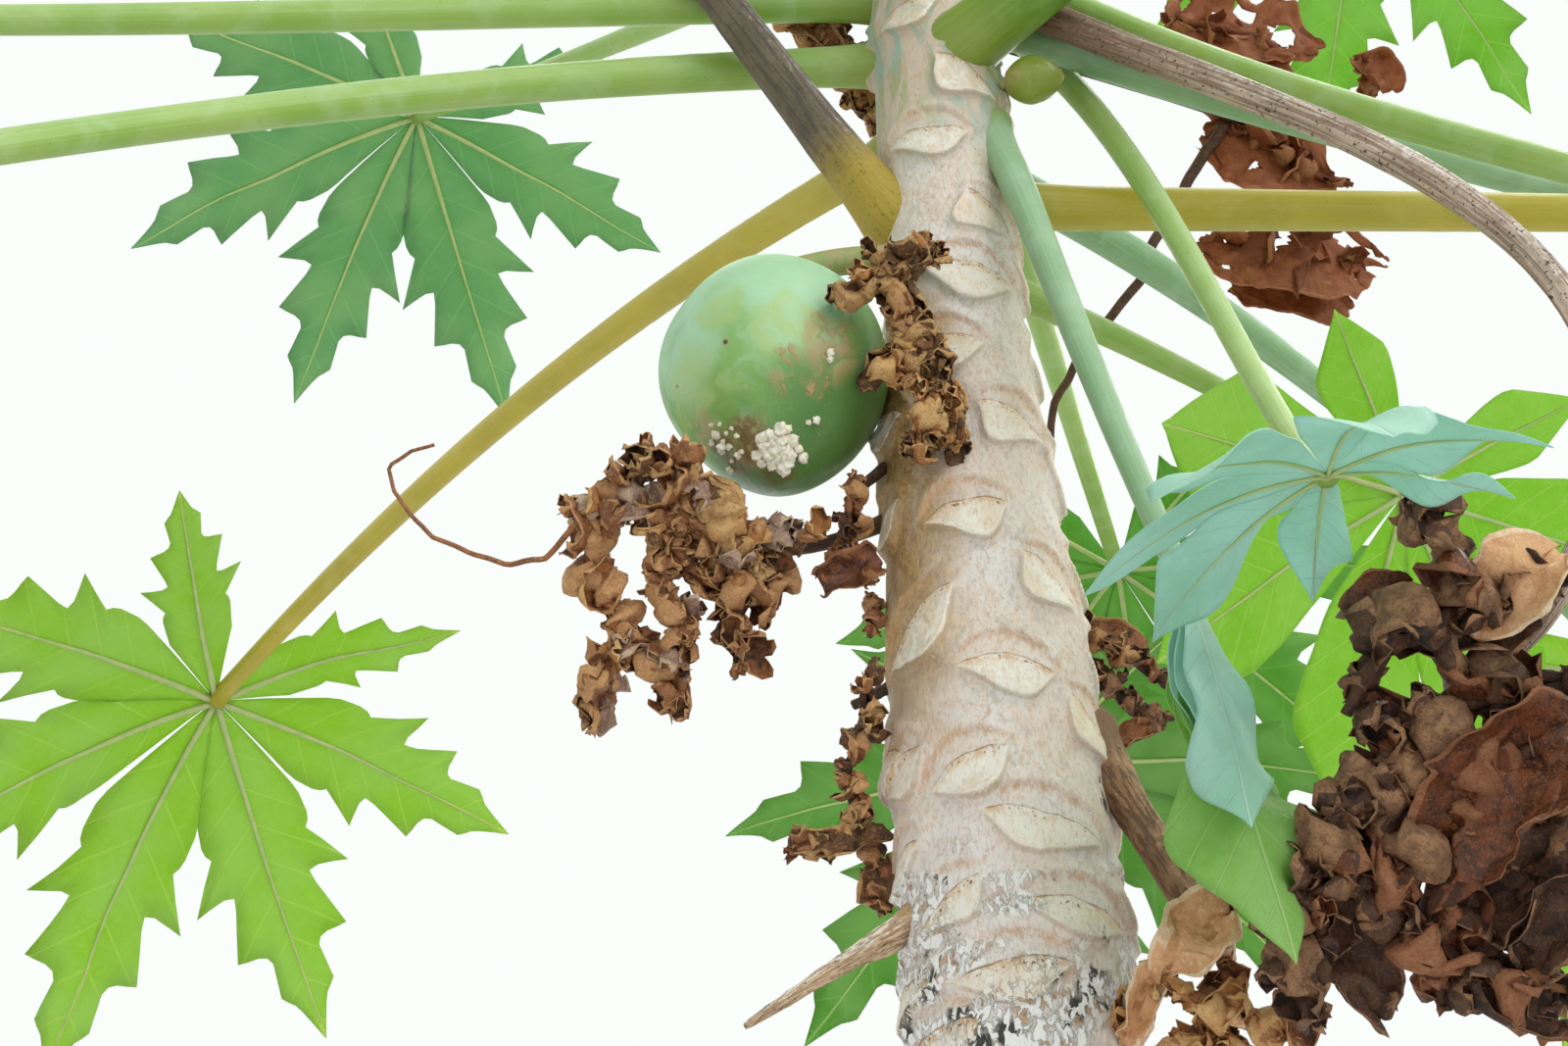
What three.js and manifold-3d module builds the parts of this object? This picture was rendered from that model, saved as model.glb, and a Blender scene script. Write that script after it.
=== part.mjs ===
// A pawpaw tree: one upright unbranched trunk, a crown of long-stalked lobed leaves round its tip,
// old leaves that have dried and hang below them, and two green fruit close against the trunk.
// Millimetres, +Z up. The origin is the middle of the flat cut under the trunk, at ground level.
// +X is to the right and -Y is towards someone who stands in front of the tree.
import * as THREE from "three";
import { mergeVertices } from "three/addons/utils/BufferGeometryUtils.js";
import Module from "manifold-3d";

const wasm = await Module();
wasm.setup();

// Trunk: height, radius, and how far its axis has moved to the right and away from the viewer.
const TRUNK_STATIONS = [
  { z: 0, radius: 106, x: 0, y: 0 },
  { z: 60, radius: 92, x: -1, y: 1 },
  { z: 170, radius: 82, x: -3, y: 3 },
  { z: 450, radius: 76, x: -7, y: 7 },
  { z: 1000, radius: 68, x: -16, y: 12 },
  { z: 1600, radius: 61, x: -34, y: 15 },
  { z: 2050, radius: 56.5, x: -52, y: 15 },
  { z: 2200, radius: 54, x: -59, y: 15 },
  { z: 2330, radius: 47, x: -65, y: 14 },
  { z: 2440, radius: 40, x: -69, y: 13 },
  { z: 2600, radius: 38.5, x: -72, y: 12 },
  { z: 2800, radius: 36, x: -75, y: 8 },
  { z: 2960, radius: 29, x: -76, y: 5 },
  { z: 3040, radius: 20, x: -76, y: 4 },
  { z: 3066, radius: 9, x: -76, y: 4 },
];
const TRUNK_SIDES = 16;
const TRUNK_RING_STEP = 150;
const TRUNK_FOOT_RINGS = [60, 120, 190];
const TRUNK_TIP_RINGS = [2990, 3025, 3050];
const SEAT_GAP = 0.3;
const SEAT_DEPTH = 6;

// Leaf blade: lobes fan out round the stalk's end. Lengths and radii are shares of the blade's radius.
const LOBES = 7;
const LOBE_STEP = THREE.MathUtils.degToRad(45);
const LOBE_LENGTH = [1, 0.97, 0.86, 0.64];
const SINUS_RADIUS = 0.36;
const STALK_NOTCH_RADIUS = 0.2;
const SIDE_LOBE = { angle: 0.62, length: 0.7 };
const BLADE_THICKNESS = 0.022;
const DROOP_POWER = 2;

const STALK_SIDES = 6;
const STALK_STEPS = 6;
const STALK_TIP_SHARE = 0.55;

const COLOURS = {
  bark: 0xcbb9a4,
  leaf: 0x6f9f3a,
  dry: 0x6b4226,
  dyingStalk: 0x8a7f5a,
  brokenStalk: 0x8d7763,
  fruit: 0x6f9c5f,
  bud: 0x8db552,
};

// Leaves of the lower crown: the height and bearing of the seat on the trunk, the stalk's end, how
// far the stalk bows up, its thickness at the seat, and the blade's radius, pitch, droop and facing.
const LOWER_LEAVES = [
  {
    name: "leaf_right_low", z: 2536, bearing: 16, end: [600, -150, 2380],
    handles: [[194, 14, 2524], [391, -102, 2432]], thickness: 28, radius: 290, pitch: 50,
    droop: 0.3,
  },
  {
    name: "leaf_right_behind", z: 2478, bearing: 22, end: [194, 65, 2356], lift: 10, thickness: 18,
    radius: 200, pitch: 50, droop: 0.15, facing: 115,
  },
  {
    name: "leaf_right_hanging", z: 2575, bearing: 335, end: [22, -138, 2173],
    handles: [[-26, -50, 2480], [-14, -95, 2340]], thickness: 22, radius: 186, pitch: 75,
    droop: 0.1, facing: 322, spread: 0.2,
  },
  {
    name: "leaf_front_hanging", z: 2712, bearing: 40, end: [70, -234, 2174],
    handles: [[68, 62, 2662], [58, -161, 2243]], thickness: 19, radius: 122, pitch: 10,
    droop: 0.25, facing: 220,
  },
  {
    name: "leaf_right_high", z: 2722, bearing: 342, end: [500, -290, 2150],
    handles: [[156, -34, 2527], [336, -216, 2357]], thickness: 22, radius: 300, pitch: 48,
    droop: 0.3,
  },
  {
    name: "leaf_right", z: 2672, bearing: 350, end: [690, 90, 2480],
    handles: [[169, -25, 2538], [461, 12, 2490]], thickness: 22, radius: 310, pitch: 40, droop: 0.3,
  },
  {
    name: "leaf_front_right", z: 2634, bearing: 300, end: [560, -560, 2820], lift: 0, thickness: 42,
    radius: 330, pitch: 30, droop: 0.3,
  },
  {
    name: "leaf_front_left", z: 2690, bearing: 250, end: [-420, -690, 2800], lift: 40,
    thickness: 36, radius: 320, pitch: 30, droop: 0.3,
  },
  {
    name: "leaf_left_low", z: 2652, bearing: 158, end: [-790, -300, 2240],
    handles: [[-379, 28, 2647], [-556, -251, 2352]], thickness: 26, radius: 290, pitch: 58,
    droop: 0.3,
  },
  {
    name: "leaf_left_high", z: 2702, bearing: 165, end: [-870, -225, 2460],
    handles: [[-389, -15, 2662], [-595, -166, 2500]], thickness: 24, radius: 300, pitch: 35,
    droop: 0.3,
  },
  {
    name: "leaf_back_right", z: 2575, bearing: 38, end: [480, 470, 2440], lift: 60, thickness: 25,
    radius: 310, pitch: 40, droop: 0.3,
  },
  {
    name: "leaf_back", z: 2630, bearing: 84, end: [60, 790, 2540], lift: 70, thickness: 25,
    radius: 330, pitch: 35, droop: 0.3,
  },
  {
    name: "leaf_back_left", z: 2590, bearing: 140, end: [-610, 540, 2470], lift: 60, thickness: 25,
    radius: 310, pitch: 40, droop: 0.3,
  },
];

// Upper leaves follow one rule up the trunk: each is a golden angle on from the last, and younger
// leaves have shorter stalks that stand up more steeply and carry smaller blades.
const UPPER = {
  count: 15,
  firstHeight: 2728,
  lastHeight: 3032,
  firstBearing: 75,
  turn: 137.5,
  stalkLength: [830, 190],
  rise: [3, 82],
  bow: 0.08,
  thickness: [26, 9],
  radius: [330, 105],
  pitch: [34, 4],
  droop: 0.28,
};

// Dried leaves: a stalk from the trunk, and shrivelled strands that hang from top down to bottom.
const DRY_LEAVES = [
  {
    name: "dry_leaf_under_fruit", z: 2312, bearing: 172, top: [-238, 6, 2296],
    bottom: [-238, 8, 2158], lift: -24, width: 86, lump: 23, strands: 3, thickness: 9, seed: 3,
  },
  {
    name: "dry_leaf_over_fruit", z: 2462, bearing: 240, top: [-107, -60, 2420],
    bottom: [-74, -64, 2288], width: 8, lump: 25, strands: 1, thickness: 10, seed: 5,
  },
  {
    name: "dry_leaf_behind_fruit", z: 2344, bearing: 186, top: [-130, -4, 2312],
    bottom: [-134, -10, 2244], width: 8, lump: 15, strands: 1, thickness: 8, seed: 7,
  },
  {
    name: "dry_leaf_left_low", z: 2202, bearing: 186, top: [-132, 14, 2190],
    bottom: [-142, 14, 2074], width: 34, lump: 18, strands: 2, thickness: 8, seed: 9,
  },
  {
    name: "dry_leaf_left_top", z: 2690, bearing: 130, top: [-141, 64, 2692],
    bottom: [-136, 62, 2626], width: 26, lump: 20, strands: 2, thickness: 9, seed: 11,
  },
  {
    name: "dry_leaf_right", z: 2246, bearing: 12, top: [28, 34, 2236], bottom: [36, 40, 2184],
    width: 20, lump: 20, strands: 2, thickness: 12, seed: 13,
  },
  {
    name: "dry_leaf_right_low", z: 2168, bearing: 350, top: [44, -22, 2036],
    bottom: [22, -12, 1944], width: 62, lump: 25, strands: 3, thickness: 24, seed: 15,
  },
  {
    name: "dry_leaf_on_long_stalk", z: 2699, bearing: 328, top: [174, -121, 2145],
    bottom: [190, -98, 1935], width: 158, lump: 40, strands: 4, thickness: 20, seed: 17,
    handles: [[59, -28, 2573], [342, -281, 2306]],
  },
  {
    name: "dry_leaf_back_right", z: 2700, bearing: 62, top: [205, 232, 2780],
    bottom: [212, 240, 2640], width: 130, lump: 30, strands: 3, thickness: 14, seed: 19,
  },
  {
    name: "dry_leaf_back", z: 2540, bearing: 100, top: [-25, 300, 2400], bottom: [-20, 310, 2170],
    width: 80, lump: 32, strands: 3, thickness: 18, seed: 21,
  },
];

// Old stalks with no blade left.
const STUBS = [
  {
    name: "stalk_dying", z: 2514, bearing: 192, end: [-330, -62, 2866], lift: -18, thickness: 31,
    tipShare: 0.6, color: COLOURS.dyingStalk,
  },
  {
    name: "stalk_broken", z: 2062, bearing: 200, end: [-186, -44, 1992], lift: 2, thickness: 17,
    tipShare: 0.6, color: COLOURS.brokenStalk,
  },
];

const FRUIT = [
  {
    name: "fruit_large", z: 2478, bearing: 200, centre: [-173, -18, 2382], pole: [-0.06, 0.1, 1],
    radius: 64.5, length: 160, stalk: 8, sides: 20,
  },
  {
    name: "fruit_small", z: 2606, bearing: 350, centre: [-17, -23, 2598], pole: [-1, 0.3, 0.1],
    radius: 15, length: 39, stalk: 3, sides: 12,
  },
];

function finish(color, roughness) {
  return new THREE.MeshStandardMaterial({ color, roughness, metalness: 0 });
}

// Radius and axis of the trunk at a height.
function trunkAt(z) {
  const last = TRUNK_STATIONS.length - 1;
  const above = Math.min(Math.max(TRUNK_STATIONS.findIndex((s) => s.z >= z), 1), last);
  const a = TRUNK_STATIONS[above - 1];
  const b = TRUNK_STATIONS[above];
  const t = THREE.MathUtils.clamp((z - a.z) / (b.z - a.z), 0, 1);
  return {
    radius: THREE.MathUtils.lerp(a.radius, b.radius, t),
    x: THREE.MathUtils.lerp(a.x, b.x, t),
    y: THREE.MathUtils.lerp(a.y, b.y, t),
  };
}

// A point at a height and a bearing, in degrees anticlockwise from +X, this far out of the trunk's skin.
function onTrunk(z, bearing, out) {
  const { radius, x, y } = trunkAt(z);
  const a = THREE.MathUtils.degToRad(bearing);
  return new THREE.Vector3(x + Math.cos(a) * (radius + out), y + Math.sin(a) * (radius + out), z);
}

// A small repeatable random sequence, from -1 to 1.
function randomFrom(seed) {
  let state = seed * 7919 + 12345;
  return () => {
    state = (Math.imul(state ^ (state >>> 15), 2246822519) + 3266489917) >>> 0;
    return (state / 4294967295) * 2 - 1;
  };
}

// The closed solid of a geometry, turned right way out where its faces point inwards.
function solidOf(geometry) {
  geometry.deleteAttribute("normal");
  geometry.deleteAttribute("uv");
  const merged = mergeVertices(geometry, 1e-3);
  const triVerts = new Uint32Array(merged.index.array);
  const vertProperties = new Float32Array(merged.attributes.position.array);
  const solid = new wasm.Manifold(new wasm.Mesh({ numProp: 3, vertProperties, triVerts }));
  if (solid.volume() > 0) return solid;
  for (let i = 0; i < triVerts.length; i += 3) {
    [triVerts[i + 1], triVerts[i + 2]] = [triVerts[i + 2], triVerts[i + 1]];
  }
  return new wasm.Manifold(new wasm.Mesh({ numProp: 3, vertProperties, triVerts }));
}

function geometryOf(solid) {
  const mesh = solid.getMesh();
  const geometry = new THREE.BufferGeometry();
  geometry.setAttribute("position", new THREE.BufferAttribute(mesh.vertProperties, 3));
  geometry.setIndex(new THREE.BufferAttribute(mesh.triVerts, 1));
  geometry.computeVertexNormals();
  return geometry;
}

// A closed round limb along a curve: a cylinder whose rings are laid on the curve.
function limb(curve, radiusAt, sides, steps) {
  const geometry = new THREE.CylinderGeometry(1, 1, 1, sides, steps);
  const position = geometry.attributes.position;
  const span = new THREE.Vector3().subVectors(curve.getPoint(1), curve.getPoint(0));
  const across = new THREE.Vector3(-span.y, span.x, 0).normalize();
  for (let i = 0; i < position.count; i += 1) {
    const t = position.getY(i) + 0.5;
    const up = new THREE.Vector3().crossVectors(across, curve.getTangent(t)).normalize();
    const side = new THREE.Vector3().crossVectors(curve.getTangent(t), up);
    const turn = Math.atan2(position.getZ(i), position.getX(i));
    const r = Math.hypot(position.getX(i), position.getZ(i)) * radiusAt(t);
    const p = curve.getPoint(t);
    p.addScaledVector(side, Math.cos(turn) * r).addScaledVector(up, Math.sin(turn) * r);
    position.setXYZ(i, p.x, p.y, p.z);
  }
  return solidOf(geometry);
}

// The trunk's solid: rings at rising heights, grown by a clearance where it is used as a cutter.
function trunkSolid(grown) {
  const top = TRUNK_STATIONS[TRUNK_STATIONS.length - 1].z;
  const rings = [0, ...TRUNK_FOOT_RINGS];
  for (let z = 300; z < TRUNK_TIP_RINGS[0] - TRUNK_RING_STEP / 2; z += TRUNK_RING_STEP) {
    rings.push(z);
  }
  rings.push(...TRUNK_TIP_RINGS, top);
  const geometry = new THREE.CylinderGeometry(1, 1, 1, TRUNK_SIDES, rings.length - 1);
  const position = geometry.attributes.position;
  for (let i = 0; i < position.count; i += 1) {
    const z = rings[Math.round((position.getY(i) + 0.5) * (rings.length - 1))];
    const { radius, x, y } = trunkAt(z);
    const r = radius + grown;
    position.setXYZ(i, x + position.getX(i) * r, y - position.getZ(i) * r, z);
  }
  return solidOf(geometry);
}

const TRUNK = trunkSolid(0);
const TRUNK_CUTTER = trunkSolid(SEAT_GAP);

// A stalk's line, from its seat to its end: bowed up by lift, or led by two handles of its own.
function stalkCurve(root, end, { lift = 0, handles }) {
  if (handles) {
    return new THREE.CubicBezierCurve3(root, ...handles.map((h) => new THREE.Vector3(...h)), end);
  }
  const first = new THREE.Vector3().lerpVectors(root, end, 1 / 3);
  const second = new THREE.Vector3().lerpVectors(root, end, 2 / 3);
  first.z += lift;
  second.z += lift;
  return new THREE.CubicBezierCurve3(root, first, second, end);
}

// The outline of a blade as angle and radius pairs: a sinus, two side lobes and a tip for each lobe.
function bladeOutline() {
  const half = LOBE_STEP / 2;
  const middle = (LOBES - 1) / 2;
  const points = [];
  for (let k = -middle; k <= middle; k += 1) {
    const length = LOBE_LENGTH[Math.abs(k)];
    const axis = k * LOBE_STEP;
    const sinus = k === -middle ? STALK_NOTCH_RADIUS : SINUS_RADIUS * length;
    points.push({ angle: axis - half, radius: sinus });
    points.push({ angle: axis - half * SIDE_LOBE.angle, radius: SIDE_LOBE.length * length });
    points.push({ angle: axis, radius: length });
    points.push({ angle: axis + half * SIDE_LOBE.angle, radius: SIDE_LOBE.length * length });
  }
  points.push({ angle: middle * LOBE_STEP + half, radius: STALK_NOTCH_RADIUS });
  return points;
}

const BLADE_OUTLINE = bladeOutline();

// A thin lobed blade, which arches down from the stalk's end towards the tips of its lobes.
function bladeSolid(centre, { facing, pitch, radius, droop, spread = 1 }) {
  const turn = THREE.MathUtils.degToRad(facing);
  const tilt = THREE.MathUtils.degToRad(pitch);
  const out = new THREE.Vector3(Math.cos(turn), Math.sin(turn), 0);
  const side = new THREE.Vector3(-out.y, out.x, 0);
  const along = out.clone().multiplyScalar(Math.cos(tilt)).add(new THREE.Vector3(0, 0, -Math.sin(tilt)));
  const normal = new THREE.Vector3().crossVectors(along, side);
  const profile = [[0, -1], [1, -1], [1, 1], [0, 1]].map(([x, y]) => new THREE.Vector2(x, y));
  const geometry = new THREE.LatheGeometry(profile, BLADE_OUTLINE.length);
  const position = geometry.attributes.position;
  for (let i = 0; i < position.count; i += 1) {
    const rim = BLADE_OUTLINE[Math.floor(i / profile.length) % BLADE_OUTLINE.length];
    const r = profile[i % profile.length].x * rim.radius;
    const turnIn = rim.angle * spread;
    const face = (profile[i % profile.length].y * BLADE_THICKNESS) / 2;
    const p = centre.clone();
    p.addScaledVector(along, radius * r * Math.cos(turnIn));
    p.addScaledVector(side, radius * r * Math.sin(turnIn));
    p.addScaledVector(normal, radius * (face - droop * Math.pow(r, DROOP_POWER)));
    position.setXYZ(i, p.x, p.y, p.z);
  }
  return solidOf(geometry);
}

// One leaf: the stalk from its seat on the trunk, fused with the blade at its end.
function leafSolid(leaf) {
  const root = onTrunk(leaf.z, leaf.bearing, -SEAT_DEPTH);
  const end = new THREE.Vector3(...leaf.end);
  const taper = (t) => (leaf.thickness / 2) * (1 - (1 - STALK_TIP_SHARE) * t);
  const stalk = limb(stalkCurve(root, end, leaf), taper, STALK_SIDES, STALK_STEPS);
  const facing = leaf.facing ?? THREE.MathUtils.radToDeg(Math.atan2(end.y - root.y, end.x - root.x));
  return stalk.add(bladeSolid(end, { ...leaf, facing })).subtract(TRUNK_CUTTER);
}

function blend([from, to], t) {
  return from + (to - from) * t;
}

function upperLeaves() {
  const leaves = [];
  for (let i = 0; i < UPPER.count; i += 1) {
    const age = i / (UPPER.count - 1);
    const z = blend([UPPER.firstHeight, UPPER.lastHeight], age);
    const bearing = UPPER.firstBearing + i * UPPER.turn;
    const reach = blend(UPPER.stalkLength, Math.pow(age, 1.3));
    const rise = THREE.MathUtils.degToRad(blend(UPPER.rise, Math.pow(age, 0.85)));
    const end = onTrunk(z, bearing, reach * Math.cos(rise));
    end.z += reach * Math.sin(rise);
    leaves.push({
      name: `leaf_upper_${i + 1}`,
      z,
      bearing,
      end: end.toArray(),
      lift: -UPPER.bow * reach * age,
      thickness: blend(UPPER.thickness, age),
      radius: blend(UPPER.radius, Math.pow(age, 1.3)),
      pitch: blend(UPPER.pitch, age),
      droop: UPPER.droop,
    });
  }
  return leaves;
}

// A dried leaf: its stalk, fused with strands of uneven thickness that spread and hang from its end.
function dryLeafSolid(leaf) {
  const random = randomFrom(leaf.seed);
  const root = onTrunk(leaf.z, leaf.bearing, -SEAT_DEPTH);
  const top = new THREE.Vector3(...leaf.top);
  const taper = (t) => (leaf.thickness / 2) * (1 - 0.3 * t);
  let solid = limb(stalkCurve(root, top, leaf), taper, STALK_SIDES, STALK_STEPS);
  for (let s = 0; s < leaf.strands; s += 1) {
    const spread = leaf.strands > 1 ? (s / (leaf.strands - 1)) * 2 - 1 : 0;
    const foot = new THREE.Vector3(...leaf.bottom);
    foot.x += (spread * leaf.width) / 2;
    foot.z += Math.abs(random()) * 0.25 * (leaf.top[2] - leaf.bottom[2]);
    const head = top.clone();
    head.z += leaf.lump * 0.5;
    const shoulder = head.clone();
    shoulder.x += spread * leaf.width * 0.55;
    const strand = new THREE.QuadraticBezierCurve3(head, shoulder, foot);
    const swell = (t) => leaf.lump * (0.8 + 0.25 * Math.sin(t * 11 + s * 2) + 0.12 * random());
    const rings = [0, 1, 2, 3, 4, 5].map((k) => swell(k / 5) * (k === 0 || k === 5 ? 0.55 : 1));
    solid = solid.add(limb(strand, (t) => rings[Math.round(t * 5)], STALK_SIDES, 5));
  }
  return solid.subtract(TRUNK_CUTTER);
}

// A fruit on its short stalk: an egg shape, fuller towards the stalk and drawn in at the flower end.
function fruitSolid({ z, bearing, centre, pole, radius, length, stalk, sides }) {
  const rings = 10;
  const outline = [];
  for (let i = 0; i <= rings; i += 1) {
    const t = i / rings;
    const swell = Math.pow(Math.sin(Math.PI * t), 0.66) * (1 - 0.03 * Math.cos(Math.PI * t));
    outline.push(new THREE.Vector2(i % rings ? radius * swell : 0, length * (t - 0.5)));
  }
  const egg = new THREE.LatheGeometry(outline, sides);
  const up = new THREE.Vector3(...pole).normalize();
  egg.applyQuaternion(new THREE.Quaternion().setFromUnitVectors(new THREE.Vector3(0, 1, 0), up));
  egg.translate(...centre);
  const crown = new THREE.Vector3(...centre).addScaledVector(up, length / 2 - stalk);
  const root = onTrunk(z, bearing, -SEAT_DEPTH);
  const stem = limb(stalkCurve(root, crown, { lift: stalk }), () => stalk, STALK_SIDES, 4);
  return solidOf(egg).add(stem).subtract(TRUNK_CUTTER);
}

// A stalk with no blade: broken short, or with only a shrivelled end.
function stubSolid(stub) {
  const root = onTrunk(stub.z, stub.bearing, -SEAT_DEPTH);
  const curve = stalkCurve(root, new THREE.Vector3(...stub.end), stub);
  const taper = (t) => (stub.thickness / 2) * (1 - (1 - stub.tipShare) * t);
  return limb(curve, taper, STALK_SIDES + 2, STALK_STEPS).subtract(TRUNK_CUTTER);
}

// The growing tip: furled young leaves in a pointed bud.
function budSolid() {
  const tip = TRUNK_STATIONS[TRUNK_STATIONS.length - 1];
  const profile = [[0, 0], [8, 0], [14, 22], [12, 48], [6, 76], [0, 96]];
  const bud = new THREE.LatheGeometry(profile.map(([r, h]) => new THREE.Vector2(r, h)), 10);
  bud.rotateX(Math.PI / 2);
  bud.translate(tip.x, tip.y, tip.z + SEAT_GAP);
  return solidOf(bud);
}

const tree = new THREE.Group();

function addNode(name, solid, material) {
  const mesh = new THREE.Mesh(geometryOf(solid), material);
  mesh.name = name;
  tree.add(mesh);
}

const leafFinish = finish(COLOURS.leaf, 0.5);
const dryFinish = finish(COLOURS.dry, 0.9);
const fruitFinish = finish(COLOURS.fruit, 0.45);

addNode("trunk", TRUNK, finish(COLOURS.bark, 0.85));
addNode("growing_tip", budSolid(), finish(COLOURS.bud, 0.5));
for (const leaf of [...LOWER_LEAVES, ...upperLeaves()]) {
  addNode(leaf.name, leafSolid(leaf), leafFinish);
}
for (const leaf of DRY_LEAVES) {
  addNode(leaf.name, dryLeafSolid(leaf), dryFinish);
}
for (const stub of STUBS) {
  addNode(stub.name, stubSolid(stub), finish(stub.color, 0.8));
}
for (const fruit of FRUIT) {
  addNode(fruit.name, fruitSolid(fruit), fruitFinish);
}

export default tree;
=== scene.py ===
"""A pawpaw tree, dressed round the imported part: bark, leaves, dried leaves, old stalks and fruit.

Metres. The origin is the middle of the flat cut under the trunk, +X is to the right, and -Y is
towards someone who stands in front of the tree.
"""

import itertools
import math

import bpy
import numpy as np
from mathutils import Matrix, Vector


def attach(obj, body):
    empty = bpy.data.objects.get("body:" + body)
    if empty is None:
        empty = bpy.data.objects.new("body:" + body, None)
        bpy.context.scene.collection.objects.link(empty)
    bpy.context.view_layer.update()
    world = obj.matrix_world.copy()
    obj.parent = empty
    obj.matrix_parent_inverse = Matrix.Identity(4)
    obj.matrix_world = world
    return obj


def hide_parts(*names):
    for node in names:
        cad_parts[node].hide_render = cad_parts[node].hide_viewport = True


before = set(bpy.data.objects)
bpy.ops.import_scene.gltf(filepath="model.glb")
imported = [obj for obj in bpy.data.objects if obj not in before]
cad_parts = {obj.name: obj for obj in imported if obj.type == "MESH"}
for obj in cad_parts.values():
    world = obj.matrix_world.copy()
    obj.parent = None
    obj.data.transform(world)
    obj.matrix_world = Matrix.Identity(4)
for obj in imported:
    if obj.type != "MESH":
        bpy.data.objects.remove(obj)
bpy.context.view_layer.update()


# Trunk: one soft pale stem that never branches. Each leaf that fell left a raised scar with a thick
# lower lip, a golden angle on from the last. The bark is green near the crown and corky low down.
trunk_z = [0, 0.06, 0.17, 0.45, 1.0, 1.6, 2.05, 2.2, 2.33, 2.44, 2.6, 2.8, 2.96, 3.04, 3.066]
trunk_radius = [
    0.106, 0.092, 0.082, 0.076, 0.068, 0.061, 0.0565, 0.054, 0.047, 0.04, 0.0385, 0.036, 0.029,
    0.02, 0.009,
]
trunk_x = [
    0, -0.001, -0.003, -0.007, -0.016, -0.034, -0.052, -0.059, -0.065, -0.069, -0.072, -0.075,
    -0.076, -0.076, -0.076,
]
trunk_y = [
    0, 0.001, 0.003, 0.007, 0.012, 0.015, 0.015, 0.015, 0.014, 0.013, 0.012, 0.008, 0.005, 0.004,
    0.004,
]
GOLDEN_TURN = 137.5

# Scars that show from the front: height, bearing, width, depth, and tilt with the right end up.
front_scars = [
    (2.655, 242, 0.044, 0.022, 18), (2.600, 292, 0.046, 0.030, -35), (2.551, 252, 0.048, 0.024, 3),
    (2.494, 299, 0.038, 0.030, -50), (2.447, 280, 0.054, 0.028, -10), (2.395, 255, 0.044, 0.026, 0),
    (2.344, 298, 0.040, 0.030, -25), (2.281, 260, 0.046, 0.026, 12), (2.242, 307, 0.042, 0.026, -45),
    (2.217, 226, 0.060, 0.028, 40), (2.184, 274, 0.050, 0.024, -3), (2.160, 325, 0.044, 0.024, -40),
    (2.139, 206, 0.040, 0.024, 20), (2.128, 249, 0.046, 0.024, 25), (2.097, 285, 0.062, 0.024, -12),
    (2.057, 232, 0.046, 0.018, 35), (2.052, 300, 0.060, 0.020, -5), (2.020, 262, 0.058, 0.020, 8),
    (1.992, 220, 0.050, 0.020, 12), (2.594, 352, 0.040, 0.024, -18), (2.531, 4, 0.042, 0.024, 10),
    (2.462, 350, 0.044, 0.026, -20), (2.405, 2, 0.040, 0.024, 8), (2.325, 349, 0.046, 0.026, -28),
    (2.262, 356, 0.044, 0.024, -12), (2.212, 2, 0.050, 0.024, 6), (2.066, 350, 0.056, 0.022, -10),
    (2.018, 340, 0.052, 0.022, 6), (2.296, 190, 0.046, 0.026, 12), (2.152, 182, 0.050, 0.024, -8),
    (2.092, 192, 0.050, 0.022, 10), (2.360, 196, 0.040, 0.024, -12), (2.022, 196, 0.052, 0.022, -6),
]
SCAR_STEP = 0.024
SCAR_FIRST = 0.3
SCAR_LAST = 2.74
GIVEN_LOW = 1.97
GIVEN_HIGH = 2.68
SCAR_REACH = 0.06
PLATE_RISE = 0.0013
FAR_FROM_SCARS = -0.02

lump_table = np.random.default_rng(11).uniform(-1, 1, (16, 16, 16))


def lumps(points, size, seed=0):
    """Smooth unevenness from -1 to 1 at points, in lumps of this size."""
    place = np.asarray(points, float) / size + 3.7 * seed
    cell = np.floor(place).astype(int)
    part = place - cell
    part = part * part * (3 - 2 * part)
    total = np.zeros(place.shape[:-1])
    for corner in itertools.product((0, 1), repeat=3):
        share = np.prod(np.where(corner, part, 1 - part), axis=-1)
        x, y, z = np.moveaxis((cell + corner) % 16, -1, 0)
        total += share * lump_table[x, y, z]
    return total


def eased(value, low, high):
    """0 below low, 1 above high, and smooth between them."""
    share = np.clip((value - low) / (high - low), 0, 1)
    return share * share * (3 - 2 * share)


def hump(value, middle, reach):
    """1 in the middle, falling off smoothly within this reach."""
    return np.exp(-(((value - middle) / reach) ** 2))


def trunk_at(z):
    """Radius and middle of the trunk at a height, eased over its stations."""
    ease = 0.03
    columns = []
    for values in (trunk_radius, trunk_x, trunk_y):
        low = np.interp(np.asarray(z) - ease, trunk_z, values)
        high = np.interp(np.asarray(z) + ease, trunk_z, values)
        columns.append((low + high) / 2)
    return columns


def fallen_leaf_scars():
    """Every scar on the trunk: the ones in front as they stand, the others on the spiral."""
    scars = list(front_scars)
    count = int((SCAR_LAST - SCAR_FIRST) / SCAR_STEP)
    rng = np.random.default_rng(5)
    for i in range(count):
        z = SCAR_FIRST + SCAR_STEP * i + rng.uniform(-0.003, 0.003)
        bearing = (GOLDEN_TURN * i + rng.uniform(-8, 8)) % 360
        in_front = bearing > 172 or bearing < 14
        if in_front and GIVEN_LOW < z < GIVEN_HIGH:
            continue
        width = trunk_at(z)[0] * rng.uniform(0.85, 1.1)
        scars.append((z, bearing, width, rng.uniform(0.021, 0.027), rng.uniform(-22, 22)))
    return scars


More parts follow.
